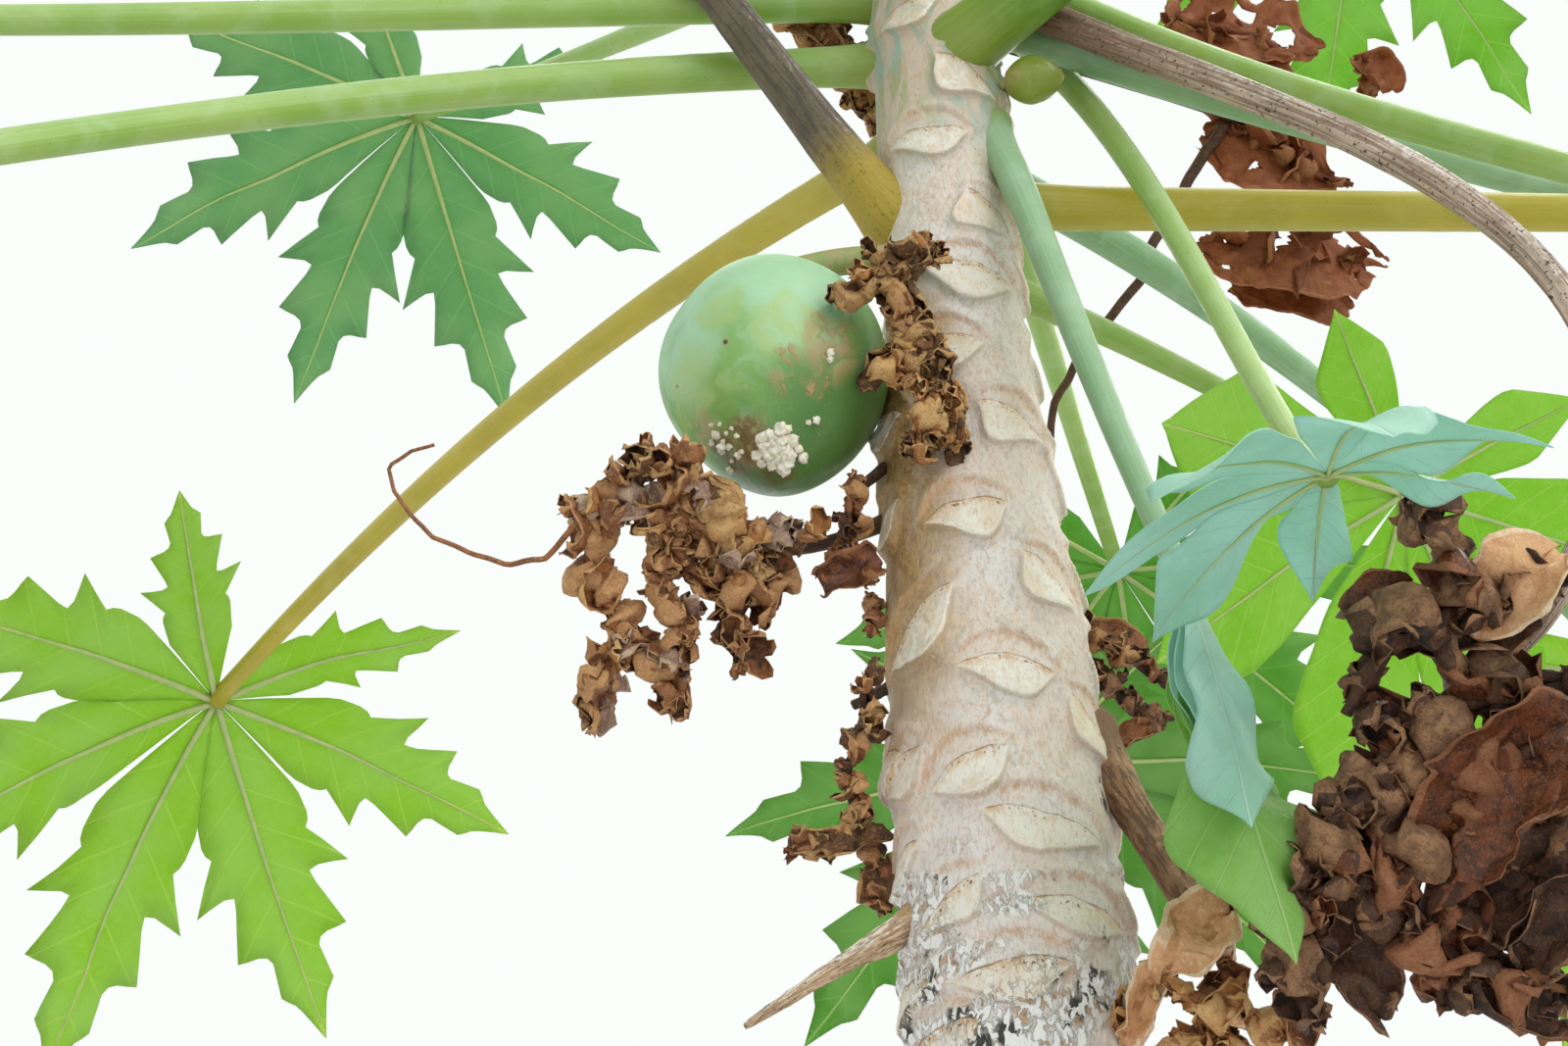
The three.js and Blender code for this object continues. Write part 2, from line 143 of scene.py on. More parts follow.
def scar_relief(points, z, bearing, scars):
    """How far scars lift the bark, and each point's distance inside a plate's top and lower edge."""
    lift = np.zeros(len(z))
    inside_top = np.full(len(z), FAR_FROM_SCARS)
    inside_low = np.full(len(z), FAR_FROM_SCARS)
    warm = np.zeros(len(z))
    for number, (height, facing, width, depth, tilt) in enumerate(scars):
        near = np.flatnonzero(np.abs(z - height) < SCAR_REACH)
        if not len(near):
            continue
        turn = (bearing[near] - facing + 180) % 360 - 180
        side = np.radians(turn) * trunk_at(height)[0]
        up = z[near] - height
        slope = math.radians(tilt)
        # Each point's place on the scar: from -1 to 1 along its width, and how far up across it.
        along = (side * math.cos(slope) + up * math.sin(slope)) / (width / 2)
        across = up * math.cos(slope) - side * math.sin(slope)
        bend = np.clip(1 - along**2, 0, 1)
        past = np.clip(np.abs(along) - 1, 0, None) * width / 2
        # Its outline is a flat bow at the top and a deeper, lopsided bow below, both uneven.
        wave = lumps(points[near], 0.010, number) + 0.5 * lumps(points[near], 0.005, number)
        smile = np.cos(np.clip(along + 0.25 * math.sin(number * 2.4) * bend, -1, 1) * math.pi / 2)
        top = depth * (0.30 * bend**0.8 + 0.07 * wave * bend)
        low = -depth * (0.72 * np.clip(smile, 0, 1) ** 1.3 + 0.04 * wave * bend)
        below_top = top - across - past
        above_low = across - low - past
        # The plate is thickest at its lower lip, and it has sunk in with age further down.
        share = np.clip(above_low / (top - low + 1e-4), 0, 1)
        age = 0.45 + 0.55 * eased(height, 1.2, 2.3)
        raised = PLATE_RISE * (1 + 0.35 * math.sin(1.7 * number))
        plate = raised * (1 - share) ** 1.4 + 0.0005 * hump(above_low, 0.0012, 0.0010)
        plate = plate * eased(above_low, -0.0020, 0.0003) * eased(below_top, -0.0008, 0.0008)
        plate = plate * eased(bend, 0, 0.25) * age
        # The stem swells out to the lip and drops back under it. A brow of bark hangs over the top.
        reach = np.where(above_low > 0, 0.024, 0.0052)
        swell = 0.0040 * np.exp(-(along**2) * 0.40) * hump(above_low, 0, reach)
        hollow = -0.0010 * hump(above_low, -0.0050, 0.0035) * eased(bend, 0, 0.4)
        arch = np.clip(1 - (along / 1.35) ** 2, 0, 1)
        brow_line = across - top - 0.004 - 0.011 * arch + 0.0014 * wave
        brow = eased(brow_line, -0.0022, 0.0008) * (1 - eased(brow_line, 0.001, 0.013))
        brow = 0.0024 * brow * eased(arch, 0, 0.6)
        line = -0.0007 * hump(below_top, -0.0008, 0.0010) * eased(bend, 0, 0.3)
        lift[near] += plate + (swell + brow + hollow + line) * age
        # Where scars meet, each point goes to the one that it lies furthest inside.
        inner = np.minimum(below_top, above_low)
        nearer = inner > np.minimum(inside_top[near], inside_low[near])
        here = near[nearer]
        inside_top[here] = below_top[nearer]
        inside_low[here] = above_low[nearer]
        glow = hump(brow_line, -0.0020, 0.0026) * eased(arch, 0, 0.5)
        warm[near] = np.maximum(warm[near], glow)
    inside_top = np.maximum(inside_top, FAR_FROM_SCARS)
    inside_low = np.maximum(inside_low, FAR_FROM_SCARS)
    return lift, inside_top, inside_low, warm


def lone(operation, **settings):
    """Run an operator that adds an object, with nothing else selected, and return the new object."""
    bpy.ops.object.select_all(action="DESELECT")
    operation(**settings)
    return bpy.context.object


def mark(piece, name, values):
    """Keep a number for each vertex, for the material to read."""
    layer = piece.data.attributes.new(name, "FLOAT", "POINT")
    layer.data.foreach_set("value", np.asarray(values, np.float32))


def bark_tube(name, heights, bearings, scars):
    """A length of the trunk: a sheet wrapped round, lifted by its scars and cork, and closed."""
    rows = len(heights) - 1
    around = len(bearings) - 1
    piece = lone(bpy.ops.mesh.primitive_grid_add, x_subdivisions=around, y_subdivisions=rows, size=1)
    piece.name = name
    # A vertex's place on the flat grid says which bearing and which height it gets.
    flat = np.zeros(len(piece.data.vertices) * 3)
    piece.data.vertices.foreach_get("co", flat)
    flat = flat.reshape(-1, 3)
    bearing = np.asarray(bearings)[np.round((flat[:, 0] + 0.5) * around).astype(int)]
    z = np.asarray(heights)[np.round((flat[:, 1] + 0.5) * rows).astype(int)]
    radius, middle_x, middle_y = trunk_at(z)
    turn = np.radians(bearing % 360)
    outward = np.stack([np.cos(turn), np.sin(turn), np.zeros(len(turn))], axis=1)
    middle = np.stack([middle_x, middle_y, z], axis=1)
    skin = middle + radius[:, None] * outward

    # Relief: the scars, a broad unevenness, cork in patches low down, and ribs at the foot.
    lift, inside_top, inside_low, warm = scar_relief(skin, z, bearing, scars)
    lift += 0.0011 * lumps(skin, 0.06, 1) + 0.0005 * lumps(skin, (0.022, 0.022, 0.010), 2)
    cork_share = 1 - eased(z + 0.05 * lumps(skin, 0.05, 3), 2.06, 2.13)
    patches = lumps(skin, (0.045, 0.045, 0.022), 9) + 0.6 * lumps(skin, (0.016, 0.016, 0.009), 10)
    cork_share *= 0.04 + 0.96 * eased(patches + 0.5 * eased(2.07 - z, 0, 0.05), -0.10, 0.30)
    fibres = lumps(skin, (0.0035, 0.0035, 0.016), 4)
    flakes = eased(lumps(skin, (0.011, 0.011, 0.009), 5), 0.0, 0.2)
    lift += cork_share * (0.0006 * fibres + 0.0010 * flakes - 0.0003)
    flare = 0.004 * (1 - eased(z, 0, 0.2))
    lift += flare * np.cos(turn * 5 + 2 * lumps(middle, 0.3, 6))
    lift *= eased(3.06 - z, 0, 0.05)
    skin += lift[:, None] * outward
    piece.data.vertices.foreach_set("co", skin.ravel())

    # How much of each finish shows, from 0 to 1, for the material to read.
    # Painted shade with a golden tint: the left side near the fruit, where it shades the trunk.
    gold = eased(np.cos(turn - math.radians(200)) + 0.25 * lumps(skin, 0.03, 8), 0.38, 0.92)
    marks = {
        "inside_top": inside_top,
        "inside_low": inside_low,
        "warm": warm,
        "by_scar": eased(np.minimum(inside_top, inside_low), -0.0045, -0.0028),
        "cork": cork_share,
        "old": 1 - eased(z + 0.08 * lumps(skin, 0.10, 12), 1.15, 1.93),
        "gold": gold * eased(z, 2.10, 2.24) * (1 - eased(z, 2.38, 2.5)),
        "green": eased(z + 0.04 * lumps(skin, 0.05, 7), 2.49, 2.63),
    }
    for mark_name, values in marks.items():
        mark(piece, mark_name, values)
    # Close the tube along its seam and at both ends.
    bpy.ops.object.mode_set(mode="EDIT")
    bpy.ops.mesh.select_all(action="SELECT")
    bpy.ops.mesh.remove_doubles(threshold=1e-6)
    bpy.ops.mesh.select_all(action="DESELECT")
    bpy.ops.mesh.select_non_manifold()
    bpy.ops.mesh.fill_holes(sides=0)
    bpy.ops.object.mode_set(mode="OBJECT")
    smooth = [len(polygon.vertices) == 4 for polygon in piece.data.polygons]
    piece.data.polygons.foreach_set("use_smooth", smooth)
    return piece


def put(tree, kind, inputs=None, **settings):
    """Add a node. Each input is a value, or another node's output that is joined to it."""
    new = tree.nodes.new("ShaderNode" + kind)
    for name, value in settings.items():
        setattr(new, name, value)
    for name, value in (inputs or {}).items():
        if isinstance(value, bpy.types.NodeSocket):
            tree.links.new(value, new.inputs[name])
        else:
            new.inputs[name].default_value = value
    return new


def mixed(share, first, second):
    """The first colour, or the second where share is 1."""
    first, second = ((*c, 1) if isinstance(c, tuple) and len(c) == 3 else c for c in (first, second))
    inputs = {0: share, 6: first, 7: second}
    return put(share.id_data, "Mix", inputs, data_type="RGBA", clamp_factor=True).outputs[2]


def between(value, low, high, start=0.0, end=1.0):
    """A number that goes smoothly from start to end as value goes from low to high."""
    inputs = {"Value": value, "From Min": low, "From Max": high, "To Min": start, "To Max": end}
    return put(value.id_data, "MapRange", inputs, interpolation_type="SMOOTHSTEP").outputs[0]


def reckon(operation, first, second=0.0):
    return put(first.id_data, "Math", {0: first, 1: second}, operation=operation).outputs[0]


def times(product, *others):
    """The product of several numbers."""
    for value in others:
        product = reckon("MULTIPLY", product, value)
    return product


def plus(whole, *others):
    """The sum of several numbers."""
    for value in others:
        whole = reckon("ADD", whole, value)
    return whole


def layered(colour, *layers):
    """A colour with others laid over it: for each, its pattern, low, high, full share and colour."""
    for pattern, low, high, share, over in layers:
        colour = mixed(between(pattern, low, high, 0, share), colour, over)
    return colour


def grain(place, scale, stretch=(1, 1, 1), detail=3.0, warp=0.0):
    """Noise from 0 to 1, of about scale lumps a metre, drawn out where stretch is below 1."""
    moved = put(place.id_data, "Mapping", {"Vector": place, "Scale": stretch}).outputs[0]
    inputs = {"Vector": moved, "Scale": scale, "Detail": detail, "Distortion": warp}
    return put(place.id_data, "TexNoise", inputs).outputs[0]


def marked(place, name):
    """The number that mark() kept for each vertex."""
    return put(place.id_data, "Attribute", attribute_name=name).outputs["Fac"]


def new_finish(name, roughness=0.6, **sockets):
    """A material, its shader, and the place on the object that patterns follow."""
    material = bpy.data.materials.new(name)
    material.use_nodes = True
    shader = material.node_tree.nodes["Principled BSDF"]
    for socket, value in dict(sockets, Roughness=roughness).items():
        shader.inputs[socket.replace("_", " ")].default_value = value
    return material, shader, put(material.node_tree, "TexCoord").outputs["Object"]


def dress(shader, colour, height, depth, rough=None):
    """Join the colour, the relief, whose full depth is in metres, and the roughness."""
    tree = shader.id_data
    relief = put(tree, "Bump", {"Height": height, "Distance": depth, "Strength": 1.0})
    tree.links.new(colour, shader.inputs["Base Color"])
    tree.links.new(relief.outputs[0], shader.inputs["Normal"])
    if rough is not None:
        tree.links.new(rough, shader.inputs["Roughness"])


def bark_finish():
    material, shader, place = new_finish("bark", 0.6)
    broad = grain(place, 20, detail=4)
    patch = grain(place, 60, (1, 1, 0.7), detail=4, warp=0.6)
    blotch = grain(place, 140, (1, 1, 0.8), detail=5, warp=0.9)
    dash = grain(place, 700, (1, 1, 0.30), detail=3, warp=0.6)
    mottle = grain(place, 260, (1, 1, 0.75), detail=5, warp=1.2)
    fine = grain(place, 1500, (1, 1, 0.5), detail=2)
    speck = grain(place, 520, (1, 1, 0.7), detail=1)
    inside_top = marked(place, "inside_top")
    inside_low = marked(place, "inside_low")
    by_scar = marked(place, "by_scar")
    corky = marked(place, "cork")
    old = marked(place, "old")

    # Bare bark: pinkish grey and beige in soft patches, golden brown on its left side, a golden tint with
    # painted shade where the fruit shades it.
    colour = mixed(between(broad, 0.38, 0.60), (0.77, 0.71, 0.70), (0.74, 0.64, 0.58))
    colour = layered(
        colour,
        (patch, 0.52, 0.68, 0.50, (0.66, 0.50, 0.39)),
        (mottle, 0.52, 0.64, 0.45, (0.68, 0.43, 0.30)),
        (blotch, 0.54, 0.66, 0.55, (0.53, 0.48, 0.47)),
    )
    # Painted shade, golden brown, on the left side where the fruit shades the trunk.
    gold = times(marked(place, "gold"), between(patch, 0.25, 0.55, 0.55, 1.0))
    golden = mixed(between(mottle, 0.42, 0.58), (0.31, 0.165, 0.045), (0.46, 0.28, 0.10))
    colour = layered(
        mixed(gold, colour, golden),
        (dash, 0.52, 0.66, 0.40, (0.47, 0.29, 0.17)),
        (dash, 0.44, 0.32, 0.22, (0.78, 0.73, 0.68)),
    )
    warm = times(
        marked(place, "warm"), between(blotch, 0.35, 0.60, 0.30, 1.0),
        between(dash, 0.35, 0.60, 0.25, 0.75),
    )
    colour = mixed(warm, colour, (0.60, 0.31, 0.14))

    # Near the crown the bark is still green, with a blue bloom and beige streaks.
    streaks = grain(place, 60, (1, 1, 0.30), detail=4, warp=0.8)
    leafy = layered(
        (0.36, 0.47, 0.40),
        (broad, 0.42, 0.58, 1, (0.38, 0.40, 0.18)),
        (streaks, 0.44, 0.58, 1, (0.62, 0.50, 0.41)),
        (blotch, 0.55, 0.68, 0.6, (0.58, 0.38, 0.24)),
    )
    colour = mixed(marked(place, "green"), colour, leafy)

    # Low down it is corky: chalky flakes in upright fibres, brown between them, and black moss.
    rough_patch = grain(place, 70, (1, 1, 0.8), detail=5, warp=0.9)
    fibre = grain(place, 260, (1, 1, 0.6), detail=6, warp=0.7)
    white_flakes = between(fibre, 0.45, 0.53)
    cork = mixed(between(rough_patch, 0.50, 0.62), (0.70, 0.64, 0.62), (0.52, 0.34, 0.22))
    cork = mixed(white_flakes, cork, (0.86, 0.85, 0.85))
    cork = layered(cork, (fibre, 0.39, 0.34, 0.75, (0.20, 0.15, 0.12)))
    colour = mixed(corky, colour, cork)
    soot = times(
        between(grain(place, 45, detail=5, warp=0.5), 0.55, 0.63),
        between(fibre, 0.54, 0.48), between(corky, 0.05, 0.30),
    )
    colour = mixed(soot, colour, (0.045, 0.04, 0.036))

    # Older still, towards the foot, it is grey-brown with faint pale flakes.
    aged = layered(
        (0.40, 0.35, 0.31),
        (rough_patch, 0.42, 0.60, 1, (0.30, 0.235, 0.18)),
        (mottle, 0.48, 0.62, 0.5, (0.36, 0.25, 0.16)),
        (fibre, 0.50, 0.60, 0.5, (0.56, 0.53, 0.50)),
        (fibre, 0.42, 0.35, 0.6, (0.15, 0.12, 0.10)),
    )
    colour = mixed(times(old, 0.88), colour, aged)

    # Scars: a cream plate, rusty under its thin brown top edge, with a pale lip that is partly a painted
    # highlight, and painted shade below it.
    plate = layered(
        (0.84, 0.79, 0.73),
        (patch, 0.42, 0.62, 1, (0.80, 0.67, 0.54)),
        (mottle, 0.50, 0.64, 0.45, (0.76, 0.56, 0.40)),
    )
    plate = mixed(between(blotch, 0.56, 0.46, 0.05, 0.40), plate, colour)
    plate = mixed(times(old, 0.7), plate, (0.46, 0.40, 0.35))
    rusty = times(between(inside_top, 0.0085, 0.0010), between(blotch, 0.42, 0.60), 0.7)
    plate = mixed(rusty, plate, (0.62, 0.35, 0.15))
    plate = layered(plate, (dash, 0.56, 0.68, 0.35, (0.50, 0.32, 0.18)))
    # The lower lip: a pale rim, lighter still as a painted highlight.
    lip_rim_and_highlight = times(between(inside_low, 0.0026, 0.0008), 0.5)
    plate = mixed(lip_rim_and_highlight, plate, (0.88, 0.80, 0.68))
    uneven = times(reckon("SUBTRACT", blotch, 0.5), 0.0030)
    ragged = plus(reckon("MINIMUM", inside_top, inside_low), uneven)
    on_plate = times(between(ragged, -0.0003, 0.0004), by_scar)
    colour = mixed(on_plate, colour, plate)
    beside_top = reckon("ABSOLUTE", plus(inside_top, 0.0003))
    rim = times(
        between(beside_top, 0.0009, 0.0002), between(inside_low, 0.0015, 0.0045),
        between(blotch, 0.38, 0.58, 0.35, 1.0), by_scar, 0.8,
    )
    colour = mixed(rim, colour, (0.27, 0.13, 0.055))
    # Painted shade under the lip.
    under = reckon("ABSOLUTE", plus(inside_low, 0.0016))
    shade = times(between(under, 0.0017, 0.0004), between(inside_top, 0.002, 0.008), by_scar, 0.42)
    colour = mixed(shade, colour, (0.42, 0.31, 0.17))
    near_top = reckon("ABSOLUTE", reckon("SUBTRACT", inside_top, 0.0028))
    bundle = times(
        between(near_top, 0.0026, 0.0010), between(inside_low, 0.004, 0.007),
        between(speck, 0.62, 0.67), 0.85,
    )
    colour = mixed(bundle, colour, (0.13, 0.06, 0.03))
    colour = layered(colour, (speck, 0.745, 0.79, 0.6, (0.22, 0.13, 0.08)))

    height = plus(
        times(dash, between(on_plate, 0, 1, 0.7, 0.25)), times(blotch, 1.2),
        times(mottle, 0.8), times(fine, 0.3), times(corky, white_flakes, 1.2),
    )
    dress(shader, colour, height, 0.0009)
    return material


def hand_over(piece, slot, *nodes):
    """The piece stands on the root body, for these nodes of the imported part."""
    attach(piece, "root")
    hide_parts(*nodes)


bark = bark_finish()
scars = fallen_leaf_scars()
# The upper length is finest in front. Each length starts and ends on the same bearing, and the two
# overlap by 4 mm.
front_bearings = np.linspace(168, 372, 128)
upper_bearings = np.concatenate([front_bearings, np.linspace(372, 528, 38)[1:]])
upper_heights = np.concatenate([np.arange(1.966, 2.77, 0.0016), np.linspace(2.776, 3.066, 20)])
lower_bearings = np.linspace(0, 360, 101)
lower_heights = np.linspace(0, 1.970, 340)
trunk_upper = bark_tube("trunk_bark_upper", upper_heights, upper_bearings, scars)
trunk_lower = bark_tube("trunk_bark_lower", lower_heights, lower_bearings, scars)
for piece in (trunk_upper, trunk_lower):
    piece.data.materials.append(bark)
    hand_over(piece, "bark", "trunk")


# Leaf stalks: long hollow rods, each thickest where it leaves the trunk. They are smooth, and
# waxy blue-green, fresh green or olive yellow as the leaf ages.
UPPER_LEAVES = 15
SEAT_DEPTH = 0.006
SEAT_LENGTH = 0.020
SEAT_RINGS = 6
# For each leaf: where its stalk leaves the trunk (z, bearing), where its blade starts (end), how
# the stalk bends on the way (handles or lift), the blade's reach (radius), and how far it hangs
# (pitch) and droops. spread, flat, closing, stack and swing fold up a blade that hangs closed.
leaves = [
    dict(name="leaf_right_low", z=2.536, bearing=16, end=(0.600, -0.150, 2.380), thickness=0.028,
         handles=((0.194, 0.014, 2.524), (0.391, -0.102, 2.432)), radius=0.290, pitch=50,
         stalk="olive", green="fresh"),
    dict(name="leaf_right_behind", z=2.478, bearing=22, end=(0.194, 0.065, 2.356), lift=0.010,
         thickness=0.018, radius=0.200, pitch=50, droop=0.15, facing=115, stalk="fresh",
         green="sunlit"),
    dict(name="leaf_right_hanging", z=2.575, bearing=335, end=(0.022, -0.138, 2.173),
         handles=((-0.026, -0.050, 2.480), (-0.014, -0.095, 2.340)), thickness=0.022,
         radius=0.186, pitch=78, droop=0.1, facing=296, spread=0.20, flat=0.9, closing=0.2,
         stack=0.055, swing=12, least=4, front_lobe=-1, lengths=(1, 0.68, 0.62, 0.5),
         ruffle=0.6, stalk="waxy", green="light", lobe_greens={-3: "pale", -2: "pale", -1: "pale"}),
    dict(name="leaf_front_hanging", z=2.712, bearing=40, end=(0.070, -0.234, 2.174),
         handles=((0.068, 0.062, 2.662), (0.058, -0.161, 2.243)), thickness=0.019, radius=0.122,
         pitch=5, droop=0.42, facing=220, ruffle=0.6, stalk="fresh", green="pale"),
    dict(name="leaf_right_high", z=2.722, bearing=342, end=(0.500, -0.290, 2.150),
         handles=((0.156, -0.034, 2.527), (0.336, -0.216, 2.357)), thickness=0.022,
         radius=0.300, pitch=48, stalk="fresh", green="waxy"),
    dict(name="leaf_right", z=2.672, bearing=350, end=(0.690, 0.090, 2.480), thickness=0.022,
         handles=((0.169, -0.025, 2.538), (0.461, 0.012, 2.490)), radius=0.310, pitch=40,
         stalk="waxy", green="fresh"),
    # Its stalk has the deep green, which is painted shade.
    dict(name="leaf_front_right", z=2.634, bearing=300, end=(0.560, -0.560, 2.820),
         thickness=0.042, flare=0.12, radius=0.330, pitch=30, stalk="deep", green="deep"),
    dict(name="leaf_front_left", z=2.690, bearing=250, end=(-0.420, -0.690, 2.800), lift=0.040,
         thickness=0.036, radius=0.320, pitch=30, stalk="fresh", green="deep"),
    dict(name="leaf_left_low", z=2.652, bearing=158, end=(-0.790, -0.300, 2.240),
         handles=((-0.379, 0.028, 2.647), (-0.556, -0.251, 2.352)), thickness=0.026,
         radius=0.290, pitch=58, stalk="fresh", green="fresh"),
    dict(name="leaf_left_high", z=2.702, bearing=165, end=(-0.870, -0.225, 2.460),
         handles=((-0.389, -0.015, 2.662), (-0.595, -0.166, 2.500)), thickness=0.024,
         radius=0.300, pitch=35, stalk="fresh", green="deep"),
    dict(name="leaf_back_right", z=2.575, bearing=38, end=(0.480, 0.470, 2.440), lift=0.060,
         thickness=0.025, radius=0.310, pitch=40, stalk="waxy", green="bright"),
    dict(name="leaf_back", z=2.630, bearing=84, end=(0.060, 0.790, 2.540), lift=0.070,
         thickness=0.025, radius=0.330, pitch=35, stalk="fresh", green="deep"),
    dict(name="leaf_back_left", z=2.590, bearing=140, end=(-0.610, 0.540, 2.470), lift=0.060,
         thickness=0.025, radius=0.310, pitch=40, stalk="olive", green="bright"),
]


def on_trunk(z, bearing, out):
    """A point at a height and bearing, this far out of the trunk's own skin."""
    radius, x, y = (float(np.interp(z, trunk_z, v)) for v in (trunk_radius, trunk_x, trunk_y))
    turn = math.radians(bearing)
    return np.array((x + math.cos(turn) * (radius + out), y + math.sin(turn) * (radius + out), z))


def blend(start, end, share):
    return start + (end - start) * share


def upper_leaf(number):
    """A leaf of the upper crown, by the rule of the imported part: youngest last."""
    age = number / (UPPER_LEAVES - 1)
    z = blend(2.728, 3.032, age)
    bearing = 75 + GOLDEN_TURN * number
    reach = blend(0.830, 0.190, age**1.3)
    rise = math.radians(blend(3, 82, age**0.85))
    end = on_trunk(z, bearing, reach * math.cos(rise))
    end[2] += reach * math.sin(rise)
    return dict(
        name=f"leaf_upper_{number + 1}", z=z, bearing=bearing, end=tuple(end),
        lift=-0.08 * reach * age, thickness=blend(0.026, 0.009, age),
        radius=blend(0.330, 0.105, age**1.3), pitch=blend(34, 4, age), droop=0.28,
        stalk=("fresh", "waxy", "fresh")[number % 3],
        green=("deep", "fresh", "deep", "waxy")[number % 4] if age < 0.6 else "bright",
    )


def stalk_steps(steps):
    """How far along a stalk each ring is. The first rings are inside the trunk, and count as 0."""
    return np.concatenate([np.zeros(SEAT_RINGS), np.linspace(0, 1, steps)])


def unit(vector):
    return vector / np.linalg.norm(vector)


def stalk_path(stem, steps):
    """Points along a stalk: a seat that bends in towards the trunk's middle, then the stalk."""
    root = on_trunk(stem["z"], stem["bearing"], -SEAT_DEPTH)
    end = np.array(stem["end"])
    if "handles" in stem:
        first, second = (np.array(h) for h in stem["handles"])
    else:
        lift = np.array((0, 0, stem.get("lift", 0)))
        first = blend(root, end, 1 / 3) + lift
        second = blend(root, end, 2 / 3) + lift
    t = np.linspace(0, 1, steps)[:, None]
    path = (1 - t) ** 3 * root + 3 * t * (1 - t) ** 2 * first
    path = path + 3 * t * t * (1 - t) * second + t**3 * end
    back = np.linspace(1, 0, SEAT_RINGS, endpoint=False)[:, None]
    onward = unit(first - root)
    inward = on_trunk(stem["z"], stem["bearing"], -1) - on_trunk(stem["z"], stem["bearing"], 0)
    seat = root + SEAT_LENGTH * back * (back * inward - (1 - 0.5 * back) * onward)
    return np.concatenate([seat, path])


def grid_faces(rows, columns, closed=False):
    """Four-sided faces of a grid of points, wrapped round where it is closed."""
    across = columns if closed else columns - 1
    i, j = np.meshgrid(np.arange(rows - 1), np.arange(across), indexing="ij")
    near = i * columns
    far = near + columns
    beside = (j + 1) % columns
    return np.stack([c.ravel() for c in (near + j, near + beside, far + beside, far + j)], axis=1)


def ways_across(path, axis=2):
    """At each point of a path, two directions across it that don't spin."""
    ahead = np.gradient(path, axis=0)
    ahead /= np.linalg.norm(ahead, axis=1)[:, None]
    start = np.eye(3)[axis] if abs(ahead[0][axis]) < 0.9 else np.eye(3)[0]
    side = np.cross(ahead[0], start)
    sides = []
    for direction in ahead:
        side = unit(side - direction * side.dot(direction))
        sides.append(side)
    return np.array(sides), np.cross(ahead, sides)


def round_angles(sides):
    return np.linspace(0, 2 * math.pi, sides, endpoint=False)


def rod(path, radii, sides, ridges=None):
    """A closed round rod along a path. ridges gives the lift at each angle and ring."""
    path = np.asarray(path, float)
    rings = len(path)
    side, other = ways_across(path)
    angle = round_angles(sides)
    spoke = np.cos(angle)[None, :, None] * side[:, None] + np.sin(angle)[None, :, None] * other[:, None]
    reach = np.broadcast_to(np.asarray(radii, float)[:, None], (rings, sides))
    if ridges is not None:
        reach = reach * (1 + ridges)
    points = path[:, None] + spoke * reach[..., None]
    caps = [tuple(reversed(range(sides))), tuple(range((rings - 1) * sides, rings * sides))]
    along = np.repeat(np.linspace(0, 1, rings), sides)
    around = np.tile(angle / (2 * math.pi), rings)
    return dict(points=points.reshape(-1, 3), faces=grid_faces(rings, sides, closed=True), caps=caps,
                uv=np.stack([along, around], axis=1))


def joined(name, parts, materials):
    """One mesh from many parts. A part's finish is the number of its material."""
    points = []
    faces = []
    finishes = []
    uvs = []
    start = 0
    for part in parts:
        points.append(part["points"])
        uvs.append(part.get("uv", np.zeros((len(part["points"]), 2))))
        own = (part["faces"] + start).tolist()
        own += [tuple(corner + start for corner in cap) for cap in part.get("caps", ())]
        faces += own
        finishes += np.broadcast_to(part.get("finish", 0), len(own)).tolist()
        start += len(part["points"])
    mesh = bpy.data.meshes.new(name)
    mesh.from_pydata(np.concatenate(points), [], faces)
    mesh.polygons.foreach_set("material_index", finishes)
    mesh.polygons.foreach_set("use_smooth", [True] * len(faces))
    corner_vertex = np.zeros(len(mesh.loops), int)
    mesh.loops.foreach_get("vertex_index", corner_vertex)
    corner_uv = np.concatenate(uvs)[corner_vertex].astype(np.float32)
    # Round a rod, the last face goes on to 1 and not back to 0.
    face_of_corner = np.repeat(np.arange(len(faces)), [len(face) for face in faces])
    furthest = np.zeros(len(faces), np.float32)
    np.maximum.at(furthest, face_of_corner, corner_uv[:, 1])
    corner_uv[:, 1] += furthest[face_of_corner] - corner_uv[:, 1] > 0.5
    mesh.uv_layers.new(name="along").data.foreach_set("uv", corner_uv.ravel())
    for material in materials:
        mesh.materials.append(material)
    mesh.update()
    piece = bpy.data.objects.new(name, mesh)
    bpy.context.scene.collection.objects.link(piece)
    return piece


def own_uv(place):
    """How far along the piece, and how far round or across it."""
    uv = put(place.id_data, "UVMap", uv_map="along").outputs[0]
    return put(place.id_data, "SeparateXYZ", {"Vector": uv}).outputs[:2]


def facing_up(place):
    normal = put(place.id_data, "NewGeometry").outputs["Normal"]
    return put(place.id_data, "SeparateXYZ", {"Vector": normal}).outputs[2]


def lengthwise_streaks(along, around, stretch, count, detail):
    """Noise in long streaks down a rod, about count of them round it, with no seam."""
    turn = times(around, 2 * math.pi)
    radius = count / (2 * math.pi)
    inputs = {
        "X": times(along, stretch),
        "Y": times(reckon("COSINE", turn), radius),
        "Z": times(reckon("SINE", turn), radius),
    }
    place = put(along.id_data, "CombineXYZ", inputs).outputs[0]
    inputs = {"Vector": place, "Scale": 1.0, "Detail": detail}
    return put(along.id_data, "TexNoise", inputs).outputs[0]


